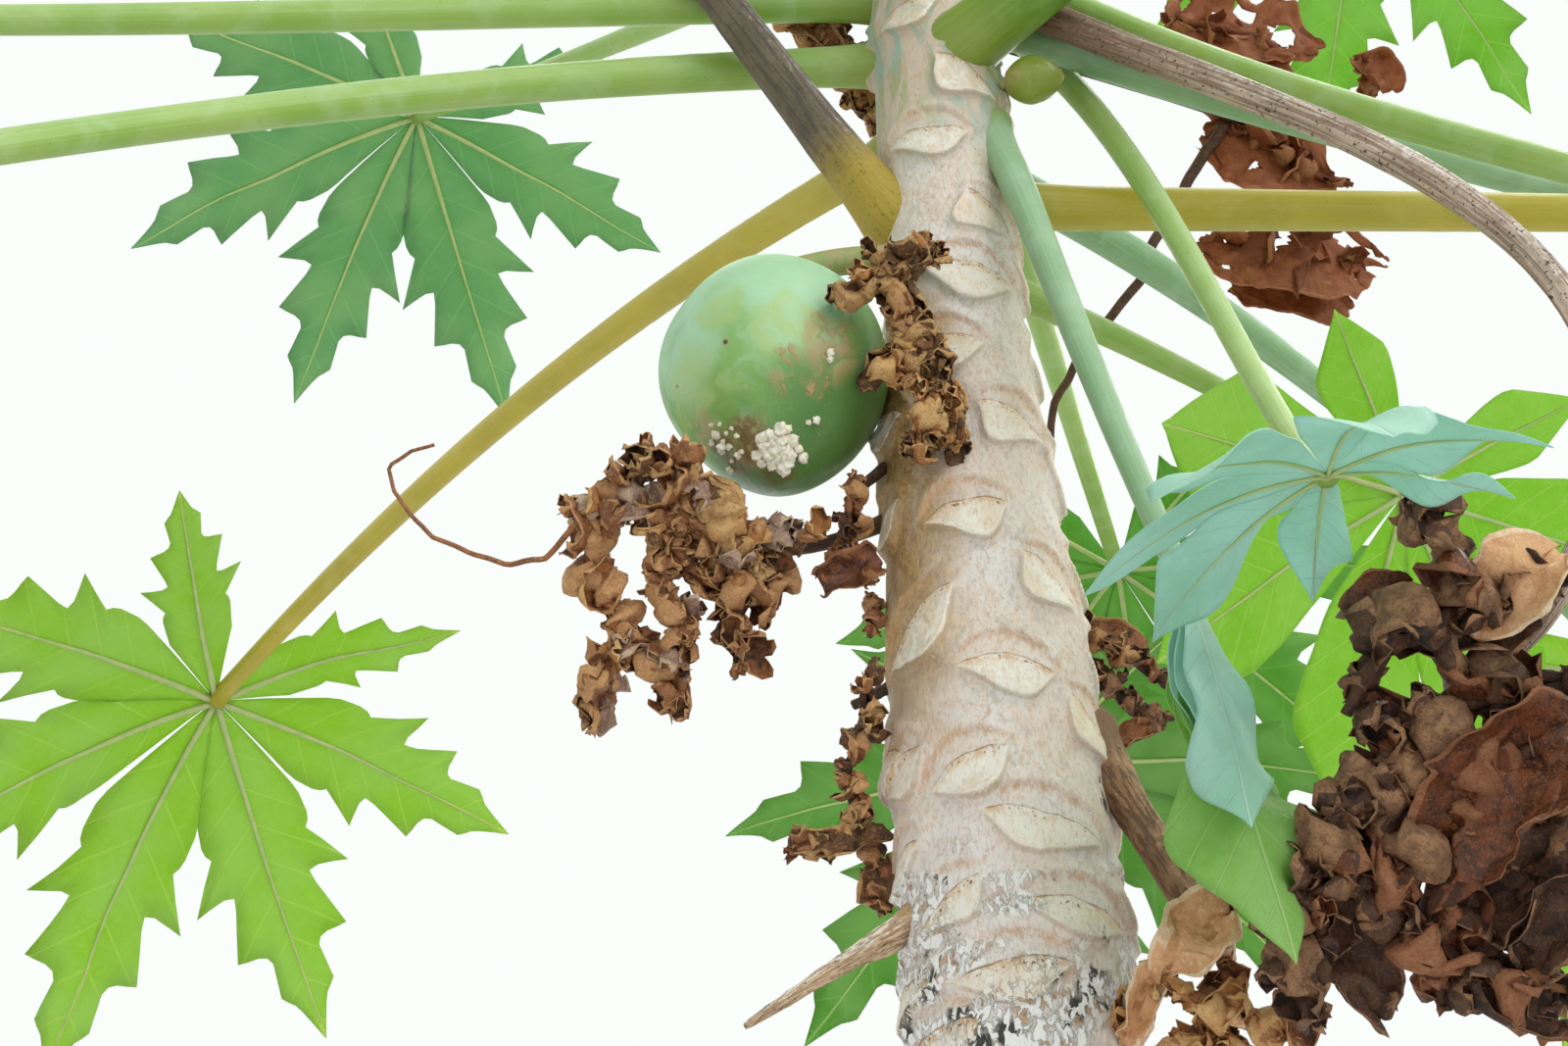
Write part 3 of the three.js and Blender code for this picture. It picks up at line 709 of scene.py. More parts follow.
def stalk_finish(name, young, old, bloom):
    """A smooth stalk: young and old greens in long streaks, a pale bloom, paler on top as a painted sheen,
    and browner at its seat.
    """
    material, shader, place = new_finish(name, 0.38, Specular_IOR_Level=0.5)
    along, around = own_uv(place)
    broad = grain(place, 14, detail=3)
    streak = lengthwise_streaks(along, around, 5, 40, 3.0)
    smear = grain(place, 45, detail=4, warp=0.5)
    speck = grain(place, 600, detail=1)
    # The bloom made paler is laid on surfaces that face up: a painted sheen on top.
    wax_and_sheen = tuple(min(1, 1.15 * c + 0.04) for c in bloom)
    colour = layered(
        young,
        (broad, 0.35, 0.65, 1, old),
        (streak, 0.45, 0.70, 0.25, bloom),
        (smear, 0.45, 0.70, 0.40, bloom),
        (facing_up(place), -0.1, 0.9, 0.55, wax_and_sheen),
        (along, 0.07, 0.0, 0.60, (0.27, 0.33, 0.06)),
        (speck, 0.70, 0.78, 0.5, (0.16, 0.15, 0.05)),
    )
    height = plus(streak, times(smear, 1.4))
    dress(shader, colour, height, 0.0004, between(smear, 0.3, 0.7, 0.30, 0.50))
    return material


stalk_colours = {
    "waxy": ((0.21, 0.38, 0.19), (0.25, 0.42, 0.22), (0.42, 0.58, 0.44)),
    "fresh": ((0.25, 0.42, 0.07), (0.31, 0.46, 0.10), (0.44, 0.58, 0.30)),
    "olive": ((0.52, 0.41, 0.035), (0.44, 0.36, 0.04), (0.58, 0.49, 0.13)),
    # deep: the stalk greens darkened as painted shade, for the big stalk in front.
    "deep": ((0.12, 0.25, 0.015), (0.17, 0.30, 0.02), (0.30, 0.44, 0.12)),
}
stalk_order = list(stalk_colours)
stalk_finishes = [stalk_finish("stalk_" + kind, *stalk_colours[kind]) for kind in stalk_order]
leaves += [upper_leaf(i) for i in range(UPPER_LEAVES)]
near_stalks = (
    "leaf_right_low", "leaf_right_hanging", "leaf_right_high", "leaf_right", "leaf_front_right",
    "leaf_left_low", "leaf_left_high",
)


def green_stalk(leaf):
    near = leaf["name"] in near_stalks
    steps, sides = (110, 32) if near else (44, 18)
    path = stalk_path(leaf, steps)
    t = stalk_steps(steps)
    radius = leaf["thickness"] / 2 * (1 - 0.45 * t)
    length = np.linalg.norm(np.diff(path, axis=0), axis=1).sum()
    radius = radius * (1 + leaf.get("flare", 0.38) * np.exp(-t * length / 0.016))
    radius = radius * (1 + 0.18 * eased(t, 0.975, 1))
    ridges = 0.010 * np.cos(round_angles(sides) * 5)[None, :] + 0.02 * lumps(path, 0.08, 3)[:, None]
    part = rod(path, radius, sides, ridges)
    part["finish"] = stalk_order.index(leaf["stalk"])
    part["uv"][:, 0] = np.repeat(t, sides)
    return part


stalks = joined("green_stalks", [green_stalk(leaf) for leaf in leaves], stalk_finishes)
leaf_names = [leaf["name"] for leaf in leaves]
hand_over(stalks, "leaf", *leaf_names)


# Leaf blades: thin, soft and cut into seven long lobes that fan out round the stalk's end. Each lobe
# has smaller points that lean forward, a raised rib under its middle, and a paler underside.
LOBE_STEP = 45
LOBE_LENGTH = [1, 0.97, 0.86, 0.64]
VEIN_LEAN = math.radians(48)
BLADE_THICKNESS = 0.0006
lobe_along = [0, 0.2, 0.3, 0.345, 0.4, 0.45, 0.49, 0.6, 0.66, 0.7, 0.8, 0.86, 0.9, 1]
lobe_width = [0, 0.19, 0.205, 0.18, 0.30, 0.19, 0.14, 0.215, 0.13, 0.09, 0.105, 0.06, 0.042, 0]
broad_along = [0, 0.2, 0.3, 0.42, 0.52, 0.60, 0.70, 0.80, 0.88, 0.95, 1]
broad_width = [0, 0.19, 0.24, 0.30, 0.315, 0.265, 0.20, 0.135, 0.08, 0.03, 0]


def blade_axes(leaf):
    """The blade's three directions: out along its middle lobe, to its side, and up from its face."""
    root = on_trunk(leaf["z"], leaf["bearing"], -SEAT_DEPTH)
    end = np.array(leaf["end"])
    facing = math.atan2(end[1] - root[1], end[0] - root[0])
    if "facing" in leaf:
        facing = math.radians(leaf["facing"])
    pitch = math.radians(leaf["pitch"])
    out = np.array((math.cos(facing), math.sin(facing), 0))
    side = np.array((-math.sin(facing), math.cos(facing), 0))
    along = out * math.cos(pitch) - np.array((0, 0, math.sin(pitch)))
    return along, side, np.cross(along, side)


def on_blade(leaf, lobe, forward, lateral, jitter):
    """Points of a blade, given in one lobe's own frame: forward along its rib and lateral from it."""
    along, side, up = blade_axes(leaf)
    spread = leaf.get("spread", 1)
    flat = leaf.get("flat", spread)
    size = leaf["radius"]
    length = leaf.get("lengths", LOBE_LENGTH)[abs(lobe)] * (1 + 0.05 * jitter[1])
    # The lobe's own way in the fan, and the points' places in the plane of the blade.
    degrees = (lobe * LOBE_STEP + 3 * jitter[0]) * spread + leaf.get("swing", 0)
    angle = math.radians(max(degrees, leaf.get("least", -180)))
    narrow = lateral * flat
    x = length * (forward * math.cos(angle) - narrow * math.sin(angle))
    y = length * (forward * math.sin(angle) + narrow * math.cos(angle))
    y = y * (1 - leaf.get("closing", 0) * eased(x, 0.2, 1.1))
    # Up from that plane: folded along each rib, drooping outwards, one lobe behind another.
    fold = -np.abs(lateral) * length * math.sqrt(1 - flat**2)
    lift = fold + 0.16 * np.abs(narrow) * (1 - spread * 0.2) - leaf.get("droop", 0.3) * (x * x + y * y)
    front = leaf.get("front_lobe", 0)
    behind = abs(lobe - front) + (0.5 if lobe > front else 0)
    lift = lift - leaf.get("stack", 0) * behind * eased(forward, 0, 0.35)
    points = np.array(leaf["end"]) + size * (x[..., None] * along + y[..., None] * side)
    # Soft waves all over, and ruffles towards the edges.
    wave = 0.028 * lumps(points, 0.055, 8) * eased(forward, 0.1, 0.6)
    wave = wave + (0.05 + leaf.get("ruffle", 0)) * np.abs(lateral) * lumps(points, 0.03, 9)
    return points + size * (lift + wave)[..., None] * up


def lobe_blade(leaf, lobe, jitter, columns, rows, finish):
    """The thin skin of one lobe, as far as halfway to its neighbours where they join."""
    joined_part = 0.2
    inner = columns // 6
    s = np.concatenate([np.linspace(0.006, 0.18, inner), np.linspace(joined_part, 0.997, columns - inner)])
    # Half the lobe's width at each step along its rib, no wider than halfway to the next lobe.
    if leaf.get("broad"):
        width = np.interp(s, broad_along, broad_width)
        smooth = sum(np.interp(s + shift, broad_along, broad_width) for shift in (-0.03, 0.03)) / 2
        width = np.where(s < 0.9, smooth, width)
    else:
        width = np.interp(s, lobe_along, lobe_width)
    shrink = 1 if abs(lobe) < 3 else 0.85
    sector = math.tan(math.radians(LOBE_STEP / 2))
    widest = sector / (math.sin(VEIN_LEAN) - sector * math.cos(VEIN_LEAN)) * s
    width = np.where(s < joined_part, widest, np.minimum(width * shrink, widest))
    reach = np.linspace(-1, 1, rows)[:, None] * width
    forward = s[None, :] + np.abs(reach) * math.cos(VEIN_LEAN)
    lateral = reach * math.sin(VEIN_LEAN)
    points = on_blade(leaf, lobe, forward, lateral, jitter)
    uv = np.stack([np.broadcast_to(s, reach.shape), reach + 0.5], axis=-1)
    return dict(points=points.reshape(-1, 3), faces=grid_faces(rows, columns), uv=uv.reshape(-1, 2),
                finish=finish)


def lobe_rib(leaf, lobe, jitter, steps, sides):
    """The rib under a lobe's middle."""
    s = np.linspace(0.0, 0.96, steps)
    path = on_blade(leaf, lobe, s, np.zeros(steps), jitter)
    up = blade_axes(leaf)[2]
    radius = leaf["radius"] * (0.0085 * (1 - s) ** 1.2 + 0.0012)
    return rod(path - up * radius[:, None] * 0.75, radius, sides)


def apply_solidify(piece, thickness):
    """Give a thin sheet its thickness. Its back takes the next material slot."""
    modifier = piece.modifiers.new("thickness", "SOLIDIFY")
    modifier.thickness = thickness
    modifier.offset = 0.0
    modifier.material_offset = 1
    bpy.ops.object.select_all(action="DESELECT")
    bpy.context.view_layer.objects.active = piece
    piece.select_set(True)
    bpy.ops.object.modifier_apply(modifier=modifier.name)


def let_light_through(shader, colour, share):
    """Mix in the light that comes through a thin leaf."""
    tree = shader.id_data
    light = put(tree, "BsdfTranslucent", {"Color": colour})
    mix = put(tree, "MixShader", {0: share, 1: shader.outputs[0], 2: light.outputs[0]})
    tree.links.new(mix.outputs[0], tree.nodes["Material Output"].inputs["Surface"])


def leaf_finish(name, main, other, vein, glow, roughness, through):
    """A blade's skin: two greens in soft patches, a net of veins, and light that comes through."""
    material, shader, place = new_finish(name, roughness, Specular_IOR_Level=0.45)
    along, across = own_uv(place)
    aside = reckon("ABSOLUTE", reckon("SUBTRACT", across, 0.5))
    broad = grain(place, 16, detail=3)
    fine = grain(place, 160, detail=3)
    step = reckon("FRACT", times(along, 9))
    beside = reckon("ABSOLUTE", reckon("SUBTRACT", step, 0.5))
    net = put(place.id_data, "TexVoronoi", {"Vector": place, "Scale": 260.0}, feature="DISTANCE_TO_EDGE")
    veins = between(aside, 0.011, 0.004)
    veins = reckon("MAXIMUM", veins, times(between(beside, 0.05, 0.015), 0.6))
    veins = reckon("MAXIMUM", veins, times(between(net.outputs[0], 0.10, 0.0), 0.22))
    colour = layered(main, (broad, 0.35, 0.65, 1, other), (fine, 0.4, 0.75, 0.25, vein))
    height = reckon("SUBTRACT", times(fine, 0.3), veins)
    dress(shader, mixed(veins, colour, vein), height, 0.0006)
    pale_glow = tuple(min(1, c * 1.25) for c in glow)
    let_light_through(shader, mixed(veins, glow, pale_glow), through)
    return material


# Greens: the face, a second green in its patches, its veins, and the light through it. The
# underside's green is half the second one and half a pale bloom.
leaf_greens = {
    "deep": ((0.10, 0.26, 0.035), (0.14, 0.33, 0.045), (0.24, 0.42, 0.12), (0.27, 0.66, 0.04)),
    "fresh": ((0.17, 0.38, 0.04), (0.23, 0.45, 0.06), (0.36, 0.54, 0.16), (0.46, 0.86, 0.06)),
    "bright": ((0.26, 0.47, 0.03), (0.32, 0.53, 0.05), (0.46, 0.62, 0.16), (0.62, 0.96, 0.06)),
    "sunlit": ((0.24, 0.50, 0.03), (0.31, 0.58, 0.04), (0.56, 0.74, 0.20), (0.58, 1.00, 0.05)),
    "waxy": ((0.17, 0.36, 0.20), (0.22, 0.42, 0.28), (0.30, 0.48, 0.30), (0.30, 0.66, 0.12)),
    "light": ((0.24, 0.46, 0.10), (0.30, 0.52, 0.16), (0.46, 0.62, 0.26), (0.50, 0.86, 0.14)),
    "pale": ((0.36, 0.60, 0.46), (0.44, 0.70, 0.62), (0.58, 0.80, 0.72), (0.56, 0.92, 0.80)),
}
under_bloom = {"pale": (0.66, 0.92, 0.98), "light": (0.42, 0.68, 0.40), "sunlit": (0.40, 0.64, 0.16)}
green_order = list(leaf_greens)
blade_finishes = []
for kind in green_order:
    main, other, vein, glow = leaf_greens[kind]
    bloom = under_bloom.get(kind, (0.34, 0.52, 0.22))
    under = tuple(0.5 * a + 0.5 * b for a, b in zip(other, bloom))
    blade_finishes.append(leaf_finish("leaf_" + kind, main, other, vein, glow, 0.42, 0.36))
    blade_finishes.append(leaf_finish("leaf_under_" + kind, under, main, vein, glow, 0.62, 0.40))


def grained_finish(name, roughness, first, second, scale, stretch=(1, 1, 1), detail=3, depth=0.0006):
    """A skin of two colours in one grain, which is also its relief."""
    material, shader, place = new_finish(name, roughness)
    pattern = grain(place, scale, stretch, detail)
    dress(shader, layered(first, (pattern, 0.35, 0.65, 1, second)), pattern, depth)
    return material


rib_finish = grained_finish("leaf_ribs", 0.45, (0.40, 0.52, 0.20), (0.50, 0.56, 0.24), 90, depth=0.0005)
near_blades = ("leaf_right_hanging", "leaf_front_hanging", "leaf_right_behind")
groups = {
    "leaves_near": [leaf for leaf in leaves if leaf["name"] in near_blades],
    "leaves_lower": [leaf for leaf in leaves[:-UPPER_LEAVES] if leaf["name"] not in near_blades],
    "leaves_upper": leaves[-UPPER_LEAVES:],
}
rib_parts = []
for number, (group_name, group) in enumerate(groups.items()):
    rng = np.random.default_rng(31 + number)
    near = group_name == "leaves_near"
    columns, rows = (56, 15) if near else (34, 5)
    parts = []
    for leaf in group:
        leaf["broad"] = near
        for lobe in range(-3, 4):
            jitter = rng.uniform(-1, 1, 2)
            green = leaf.get("lobe_greens", {}).get(lobe, leaf["green"])
            finish = 2 * green_order.index(green)
            parts.append(lobe_blade(leaf, lobe, jitter, columns, rows, finish))
            rib_parts.append(lobe_rib(leaf, lobe, jitter, 26 if near else 14, 8 if near else 5))
    blades = joined(group_name, parts, blade_finishes)
    apply_solidify(blades, BLADE_THICKNESS)
    hand_over(blades, "leaf", *[leaf["name"] for leaf in group])
ribs = joined("leaf_ribs", rib_parts, [rib_finish])
hand_over(ribs, "leaf", *leaf_names)


# Growing tip: the youngest leaves, soft and pale, still folded lengthwise into pleated spears. They
# grow straight out of the trunk's very tip, the tallest in the middle.
TIP_FOOT = 3.066
SPEAR_SIDES = 20
# Each spear: its bearing, how far out it stands, its height and its thickness.
spears = [
    (0, 0, 0.094, 0.010), (20, 0.007, 0.070, 0.008), (160, 0.009, 0.058, 0.008),
    (275, 0.008, 0.048, 0.007), (90, 0.009, 0.036, 0.006),
]
spear_parts = []
for bearing, out, height, thick in spears:
    t = np.linspace(0, 1, 22)
    turn = math.radians(bearing)
    x, y, z = on_trunk(TIP_FOOT, bearing, -0.009)
    lean = out * (1 + 0.9 * t)
    rise = TIP_FOOT - 0.012 + (height + 0.010) * t
    path = np.stack([x + math.cos(turn) * lean, y + math.sin(turn) * lean, rise], axis=1)
    radius = thick * (0.75 + 0.6 * np.sin(np.pi * t**0.8)) * np.clip((1 - t) * 4, 0.06, 1)
    pleats = 0.16 * np.cos(round_angles(SPEAR_SIDES) * 4 + turn)[None, :] * np.sin(np.pi * t)[:, None]
    spear_parts.append(rod(path, radius, SPEAR_SIDES, pleats))
bud_finish = grained_finish(
    "young_leaf", 0.45, (0.36, 0.55, 0.14), (0.48, 0.62, 0.24), 150, (1, 1, 0.3)
)
bud = joined("growing_tip_spears", spear_parts, [bud_finish])
hand_over(bud, "young_leaf", "growing_tip")


# Old stalks: leaf stalks that have lost their blades or carry dried ones. They have shrunk round
# their fibres into long ridges, grey and brown, and one is still olive where it joins the trunk.
# taper is how much thinner a stalk ends than it starts, and ridge how deep its ridges are.
old_stems = [
    dict(name="stalk_dying", z=2.514, bearing=192, end=(-0.330, -0.062, 2.866), lift=-0.018,
         thickness=0.031, taper=0.4, ridge=0.035, finish="dying", steps=150, sides=44),
    dict(name="stalk_broken", z=2.062, bearing=200, end=(-0.186, -0.044, 1.992), lift=0.002,
         thickness=0.0155, taper=0.72, ridge=0.26, finish="straw", steps=90, sides=40),
]
# A dried leaf also has, for its blade: how big its scraps are, how far apart, how far they reach
# from their strands, its tones, and the strips that wrap each strand (their reach and turns).
# Blades are flat scraps: two ends, width, curl, and what else differs. Strings are bare threads.
dried_leaves = [
    dict(name="dry_leaf_under_fruit", z=2.312, bearing=172, end=(-0.238, 0.006, 2.296),
         lift=-0.024, thickness=0.009, flake=0.0155, spacing=0.0085, reach=0.0122,
         tones=(0, 0, 0, 7, 2, 1), wraps=((1.0, 2.1), (0.8, 1.3)),
         strings=[
             (((-0.276, -0.037, 2.275), (-0.295, -0.025, 2.256), (-0.316, -0.024, 2.254),
               (-0.355, -0.032, 2.267), (-0.376, -0.045, 2.288), (-0.377, -0.052, 2.299),
               (-0.365, -0.056, 2.306), (-0.350, -0.058, 2.309)), 0.0017),
         ],
         strands=[
             ((-0.241, -0.044, 2.310), (-0.267, -0.029, 2.286), (-0.274, -0.011, 2.257),
              (-0.252, 0.006, 2.230), (-0.223, 0.019, 2.210), (-0.222, 0.031, 2.190)),
             ((-0.252, 0.009, 2.226), (-0.267, 0.019, 2.210), (-0.271, 0.032, 2.189)),
             ((-0.226, -0.043, 2.308), (-0.218, -0.029, 2.286), (-0.191, -0.013, 2.261),
              (-0.194, 0.005, 2.232), (-0.189, 0.017, 2.212)),
             ((-0.226, -0.029, 2.286), (-0.225, -0.015, 2.264), (-0.235, -0.006, 2.250),
              (-0.217, 0.003, 2.235), (-0.226, 0.016, 2.215)),
             ((-0.278, -0.028, 2.285), (-0.239, -0.030, 2.288), (-0.202, -0.026, 2.281),
              (-0.168, -0.021, 2.274), (-0.152, -0.023, 2.276)),
             ((-0.246, -0.047, 2.299), (-0.225, -0.053, 2.300), (-0.209, -0.044, 2.289),
              (-0.195, -0.026, 2.272), (-0.181, -0.008, 2.256)),
             ((-0.252, -0.035, 2.291), (-0.233, -0.031, 2.275), (-0.219, -0.016, 2.260),
              (-0.201, -0.004, 2.250)),
             ((-0.189, -0.012, 2.272), (-0.173, -0.001, 2.259), (-0.173, 0.011, 2.245)),
         ]),
    dict(name="dry_leaf_over_fruit", z=2.462, bearing=240, end=(-0.107, -0.060, 2.420),
         thickness=0.010, flake=0.0115, spacing=0.0058, reach=0.0112, tones=(1, 1, 1, 2, 0),
         wraps=((1.0, 2.1), (0.9, 1.5), (0.7, 1.3)),
         strands=[
             ((-0.085, -0.094, 2.406), (-0.107, -0.092, 2.403), (-0.100, -0.078, 2.380),
              (-0.083, -0.061, 2.353), (-0.074, -0.049, 2.333), (-0.075, -0.040, 2.319)),
             ((-0.099, -0.072, 2.371), (-0.113, -0.063, 2.356), (-0.122, -0.056, 2.345)),
             ((-0.107, -0.091, 2.400), (-0.126, -0.086, 2.393), (-0.143, -0.083, 2.388)),
             ((-0.085, -0.060, 2.351), (-0.091, -0.047, 2.330), (-0.098, -0.036, 2.313)),
             ((-0.118, -0.090, 2.410), (-0.108, -0.081, 2.388), (-0.096, -0.070, 2.366),
              (-0.094, -0.058, 2.345)),
         ]),
    dict(name="dry_leaf_behind_fruit", z=2.344, bearing=186, end=(-0.130, -0.004, 2.312),
         thickness=0.008, flake=0.0110, spacing=0.0080, reach=0.0085, tones=(0, 0, 4),
         blades=[
             ((-0.150, -0.010, 2.251), (-0.115, -0.021, 2.259), 0.032, 1.3, dict(tone=6)),
         ],
         strands=[
             ((-0.130, -0.028, 2.311), (-0.132, -0.014, 2.289), (-0.141, -0.003, 2.272),
              (-0.121, 0.003, 2.261)),
             ((-0.118, 0.008, 2.253), (-0.120, 0.020, 2.235)),
         ]),
    dict(name="dry_leaf_left_low", z=2.202, bearing=186, end=(-0.132, 0.014, 2.190),
         thickness=0.008, flake=0.0115, spacing=0.0080, reach=0.0088, tones=(4, 1, 0),
         blades=[
             ((-0.115, 0.014, 2.117), (-0.168, 0.025, 2.115), 0.022, 1.3, {}),
             ((-0.115, 0.027, 2.112), (-0.121, 0.046, 2.086), 0.026, 1.2, {}),
         ],
         strands=[
             ((-0.126, -0.021, 2.189), (-0.125, -0.010, 2.172), (-0.135, 0.004, 2.148),
              (-0.128, 0.022, 2.120), (-0.119, 0.035, 2.099), (-0.117, 0.044, 2.085)),
             ((-0.130, 0.022, 2.120), (-0.148, 0.025, 2.116), (-0.167, 0.027, 2.112)),
         ]),
    dict(name="dry_leaf_left_top", z=2.690, bearing=130, end=(-0.141, 0.064, 2.692),
         thickness=0.009, flake=0.0125, spacing=0.008, reach=0.0105, tones=(2, 0, 0, 1), fine=0.0021,
         wraps=((1.0, 2.1), (0.8, 1.3)),
         blades=[
             ((-0.168, 0.033, 2.701), (-0.130, 0.046, 2.679), 0.030, 1.5, {}),
             ((-0.136, 0.055, 2.671), (-0.111, 0.066, 2.647), 0.028, 1.5, {}),
         ],
         strands=[
             ((-0.174, 0.030, 2.712), (-0.160, 0.037, 2.701), (-0.142, 0.044, 2.690),
              (-0.123, 0.056, 2.671), (-0.117, 0.068, 2.652)),
             ((-0.130, 0.049, 2.682), (-0.101, 0.057, 2.669)),
             ((-0.132, 0.050, 2.674), (-0.113, 0.058, 2.652), (-0.108, 0.063, 2.634)),
             ((-0.170, 0.040, 2.724), (-0.146, 0.048, 2.708), (-0.122, 0.058, 2.694)),
         ]),
    dict(name="dry_leaf_right", z=2.246, bearing=12, end=(0.028, 0.034, 2.236),
         thickness=0.012, flake=0.0105, spacing=0.006, reach=0.0088, tones=(4, 4, 1, 0),
         blades=[
             ((-0.006, 0.019, 2.241), (0.028, 0.022, 2.230), 0.020, 1.1, {}),
             ((0.036, 0.047, 2.193), (0.008, 0.055, 2.188), 0.022, 1.2, {}),
         ],
         strands=[
             ((-0.009, 0.019, 2.238), (0.013, 0.023, 2.231), (0.033, 0.032, 2.217)),
             ((-0.004, 0.029, 2.222), (0.018, 0.039, 2.206), (0.039, 0.047, 2.193)),
         ]),
    dict(name="dry_leaf_right_low", z=2.168, bearing=350, end=(0.044, -0.022, 2.036),
         thickness=0.024, flake=0.013, spacing=0.009, reach=0.0105, tones=(2, 2, 0, 3), fine=0.0022,
         blades=[
             ((0.040, -0.064, 2.044), (0.008, -0.050, 2.012), 0.040, 1.5, dict(tone=3)),
             ((0.010, -0.048, 2.020), (-0.006, -0.028, 1.992), 0.028, 1.6, dict(tone=3)),
             ((0.046, -0.050, 2.014), (0.030, -0.034, 1.990), 0.026, 1.6, dict(tone=2)),
             ((0.066, -0.047, 2.008), (0.075, -0.034, 1.986), 0.026, 1.6, dict(tone=0)),
         ],
         strands=[
             ((0.041, -0.053, 2.048), (0.023, -0.044, 2.033), (0.008, -0.034, 2.016),
              (-0.005, -0.022, 1.998), (-0.017, -0.013, 1.983)),
             ((0.041, -0.052, 2.046), (0.042, -0.038, 2.024), (0.033, -0.025, 2.002),
              (0.031, -0.013, 1.983)),
             ((0.008, -0.044, 2.012), (0.030, -0.042, 2.004), (0.052, -0.040, 2.000),
              (0.074, -0.036, 1.992)),
             ((0.014, -0.034, 1.994), (0.034, -0.030, 1.984), (0.054, -0.028, 1.980)),
         ]),
    dict(name="dry_leaf_on_long_stalk", z=2.698, bearing=328, end=(0.174, -0.121, 2.145),
         handles=((0.059, -0.028, 2.573), (0.342, -0.281, 2.306)), thickness=0.020, flake=0.019,
         spacing=0.011, reach=0.0165, tones=(4, 4, 4, 6), fine=0.0026,
         blades=[
             ((0.182, -0.161, 2.091), (0.127, -0.118, 2.037), 0.080, 1.5, dict(tone=6)),
             ((0.168, -0.172, 2.132), (0.108, -0.159, 2.130), 0.040, 1.5, {}),
             ((0.092, -0.145, 2.117), (0.132, -0.128, 2.061), 0.052, 1.5, dict(tone=6)),
             ((0.183, -0.130, 2.050), (0.141, -0.097, 2.013), 0.050, 1.5, {}),
             ((0.073, -0.102, 2.039), (0.107, -0.074, 1.984), 0.044, 1.5, {}),
             ((0.180, -0.193, 2.161), (0.141, -0.172, 2.132), 0.044, 1.3, dict(tone=3)),
             ((0.119, -0.097, 2.013), (0.180, -0.080, 1.982), 0.040, 1.5, {}),
             ((0.088, -0.160, 2.150), (0.117, -0.173, 2.152), 0.030, 1.4, {}),
             ((0.167, -0.090, 1.997), (0.182, -0.121, 2.031), 0.040, 1.5, {}),
         ],
         strands=[
             ((0.191, -0.182, 2.155), (0.162, -0.178, 2.149), (0.134, -0.169, 2.134),
              (0.107, -0.166, 2.130), (0.086, -0.149, 2.102)),
             ((0.191, -0.157, 2.116), (0.156, -0.155, 2.112), (0.120, -0.144, 2.095),
              (0.098, -0.130, 2.072), (0.078, -0.117, 2.052), (0.057, -0.099, 2.023),
              (0.049, -0.083, 1.997)),
             ((0.169, -0.155, 2.112), (0.152, -0.133, 2.078), (0.142, -0.117, 2.052)),
             ((0.098, -0.129, 2.070), (0.099, -0.110, 2.040), (0.118, -0.095, 2.017),
              (0.147, -0.086, 2.003), (0.205, -0.075, 1.984)),
             ((0.071, -0.112, 2.044), (0.075, -0.093, 2.014), (0.071, -0.072, 1.980)),
             ((0.116, -0.202, 2.187), (0.129, -0.191, 2.170), (0.142, -0.180, 2.153)),
             ((0.120, -0.150, 2.104), (0.110, -0.134, 2.078), (0.112, -0.118, 2.052),
              (0.104, -0.102, 2.028)),
             ((0.150, -0.120, 2.056), (0.136, -0.104, 2.030), (0.128, -0.088, 2.004),
              (0.130, -0.078, 1.986)),
             ((0.186, -0.124, 2.066), (0.178, -0.108, 2.036), (0.166, -0.092, 2.010)),
         ]),
    dict(name="dry_leaf_back_right", z=2.700, bearing=62, end=(0.205, 0.232, 2.780),
         thickness=0.014, flake=0.022, spacing=0.030, reach=0.010, tones=(5,), fine=0.0030,
         string_tone=4,
         strings=[
             (((0.150, 0.200, 2.760), (0.120, 0.215, 2.715), (0.093, 0.224, 2.668), (0.086, 0.237, 2.647),
               (0.048, 0.261, 2.609), (0.024, 0.284, 2.573), (0.018, 0.313, 2.527)), 0.0045),
         ],
         blades=[
             ((0.110, 0.161, 2.829), (0.215, 0.172, 2.808), 0.075, 0.5, dict(holes=0.50, crumple=0.07)),
             ((0.138, 0.208, 2.754), (0.225, 0.225, 2.723), 0.080, 0.5, dict(holes=0.45, crumple=0.07)),
             ((0.130, 0.251, 2.690), (0.256, 0.257, 2.675), 0.085, 0.4, dict(holes=0.45, crumple=0.07)),
             ((0.151, 0.267, 2.666), (0.240, 0.276, 2.646), 0.055, 0.7, dict(crumple=0.09)),
             ((0.243, 0.178, 2.802), (0.271, 0.188, 2.783), 0.034, 1.0, {}),
             ((0.158, 0.178, 2.802), (0.186, 0.203, 2.759), 0.055, 0.8, dict(crumple=0.09)),
         ],
         strands=[
             ((0.115, 0.163, 2.826), (0.151, 0.167, 2.820), (0.190, 0.174, 2.808)),
             ((0.151, 0.201, 2.766), (0.193, 0.217, 2.739), (0.246, 0.227, 2.724)),
             ((0.154, 0.249, 2.688), (0.200, 0.263, 2.667), (0.251, 0.252, 2.683)),
             ((0.250, 0.178, 2.802), (0.259, 0.193, 2.778)),
             ((0.205, 0.232, 2.780), (0.200, 0.225, 2.740), (0.205, 0.240, 2.690)),
         ]),
    dict(name="dry_leaf_back", z=2.540, bearing=100, end=(-0.025, 0.300, 2.400),
         thickness=0.018, flake=0.022, spacing=0.014, reach=0.015, tones=(0, 4), fine=0.0032,
         strands=[
             ((-0.025, 0.300, 2.400), (-0.060, 0.305, 2.330), (-0.055, 0.310, 2.240)),
             ((-0.025, 0.300, 2.400), (-0.020, 0.300, 2.290), (-0.025, 0.310, 2.180)),
             ((-0.025, 0.300, 2.400), (0.010, 0.308, 2.320), (0.018, 0.310, 2.250)),
         ]),
]
stem_looks = {"dry_leaf_on_long_stalk": ("grey", 170, 52), "dry_leaf_right_low": ("brown", 60, 28)}
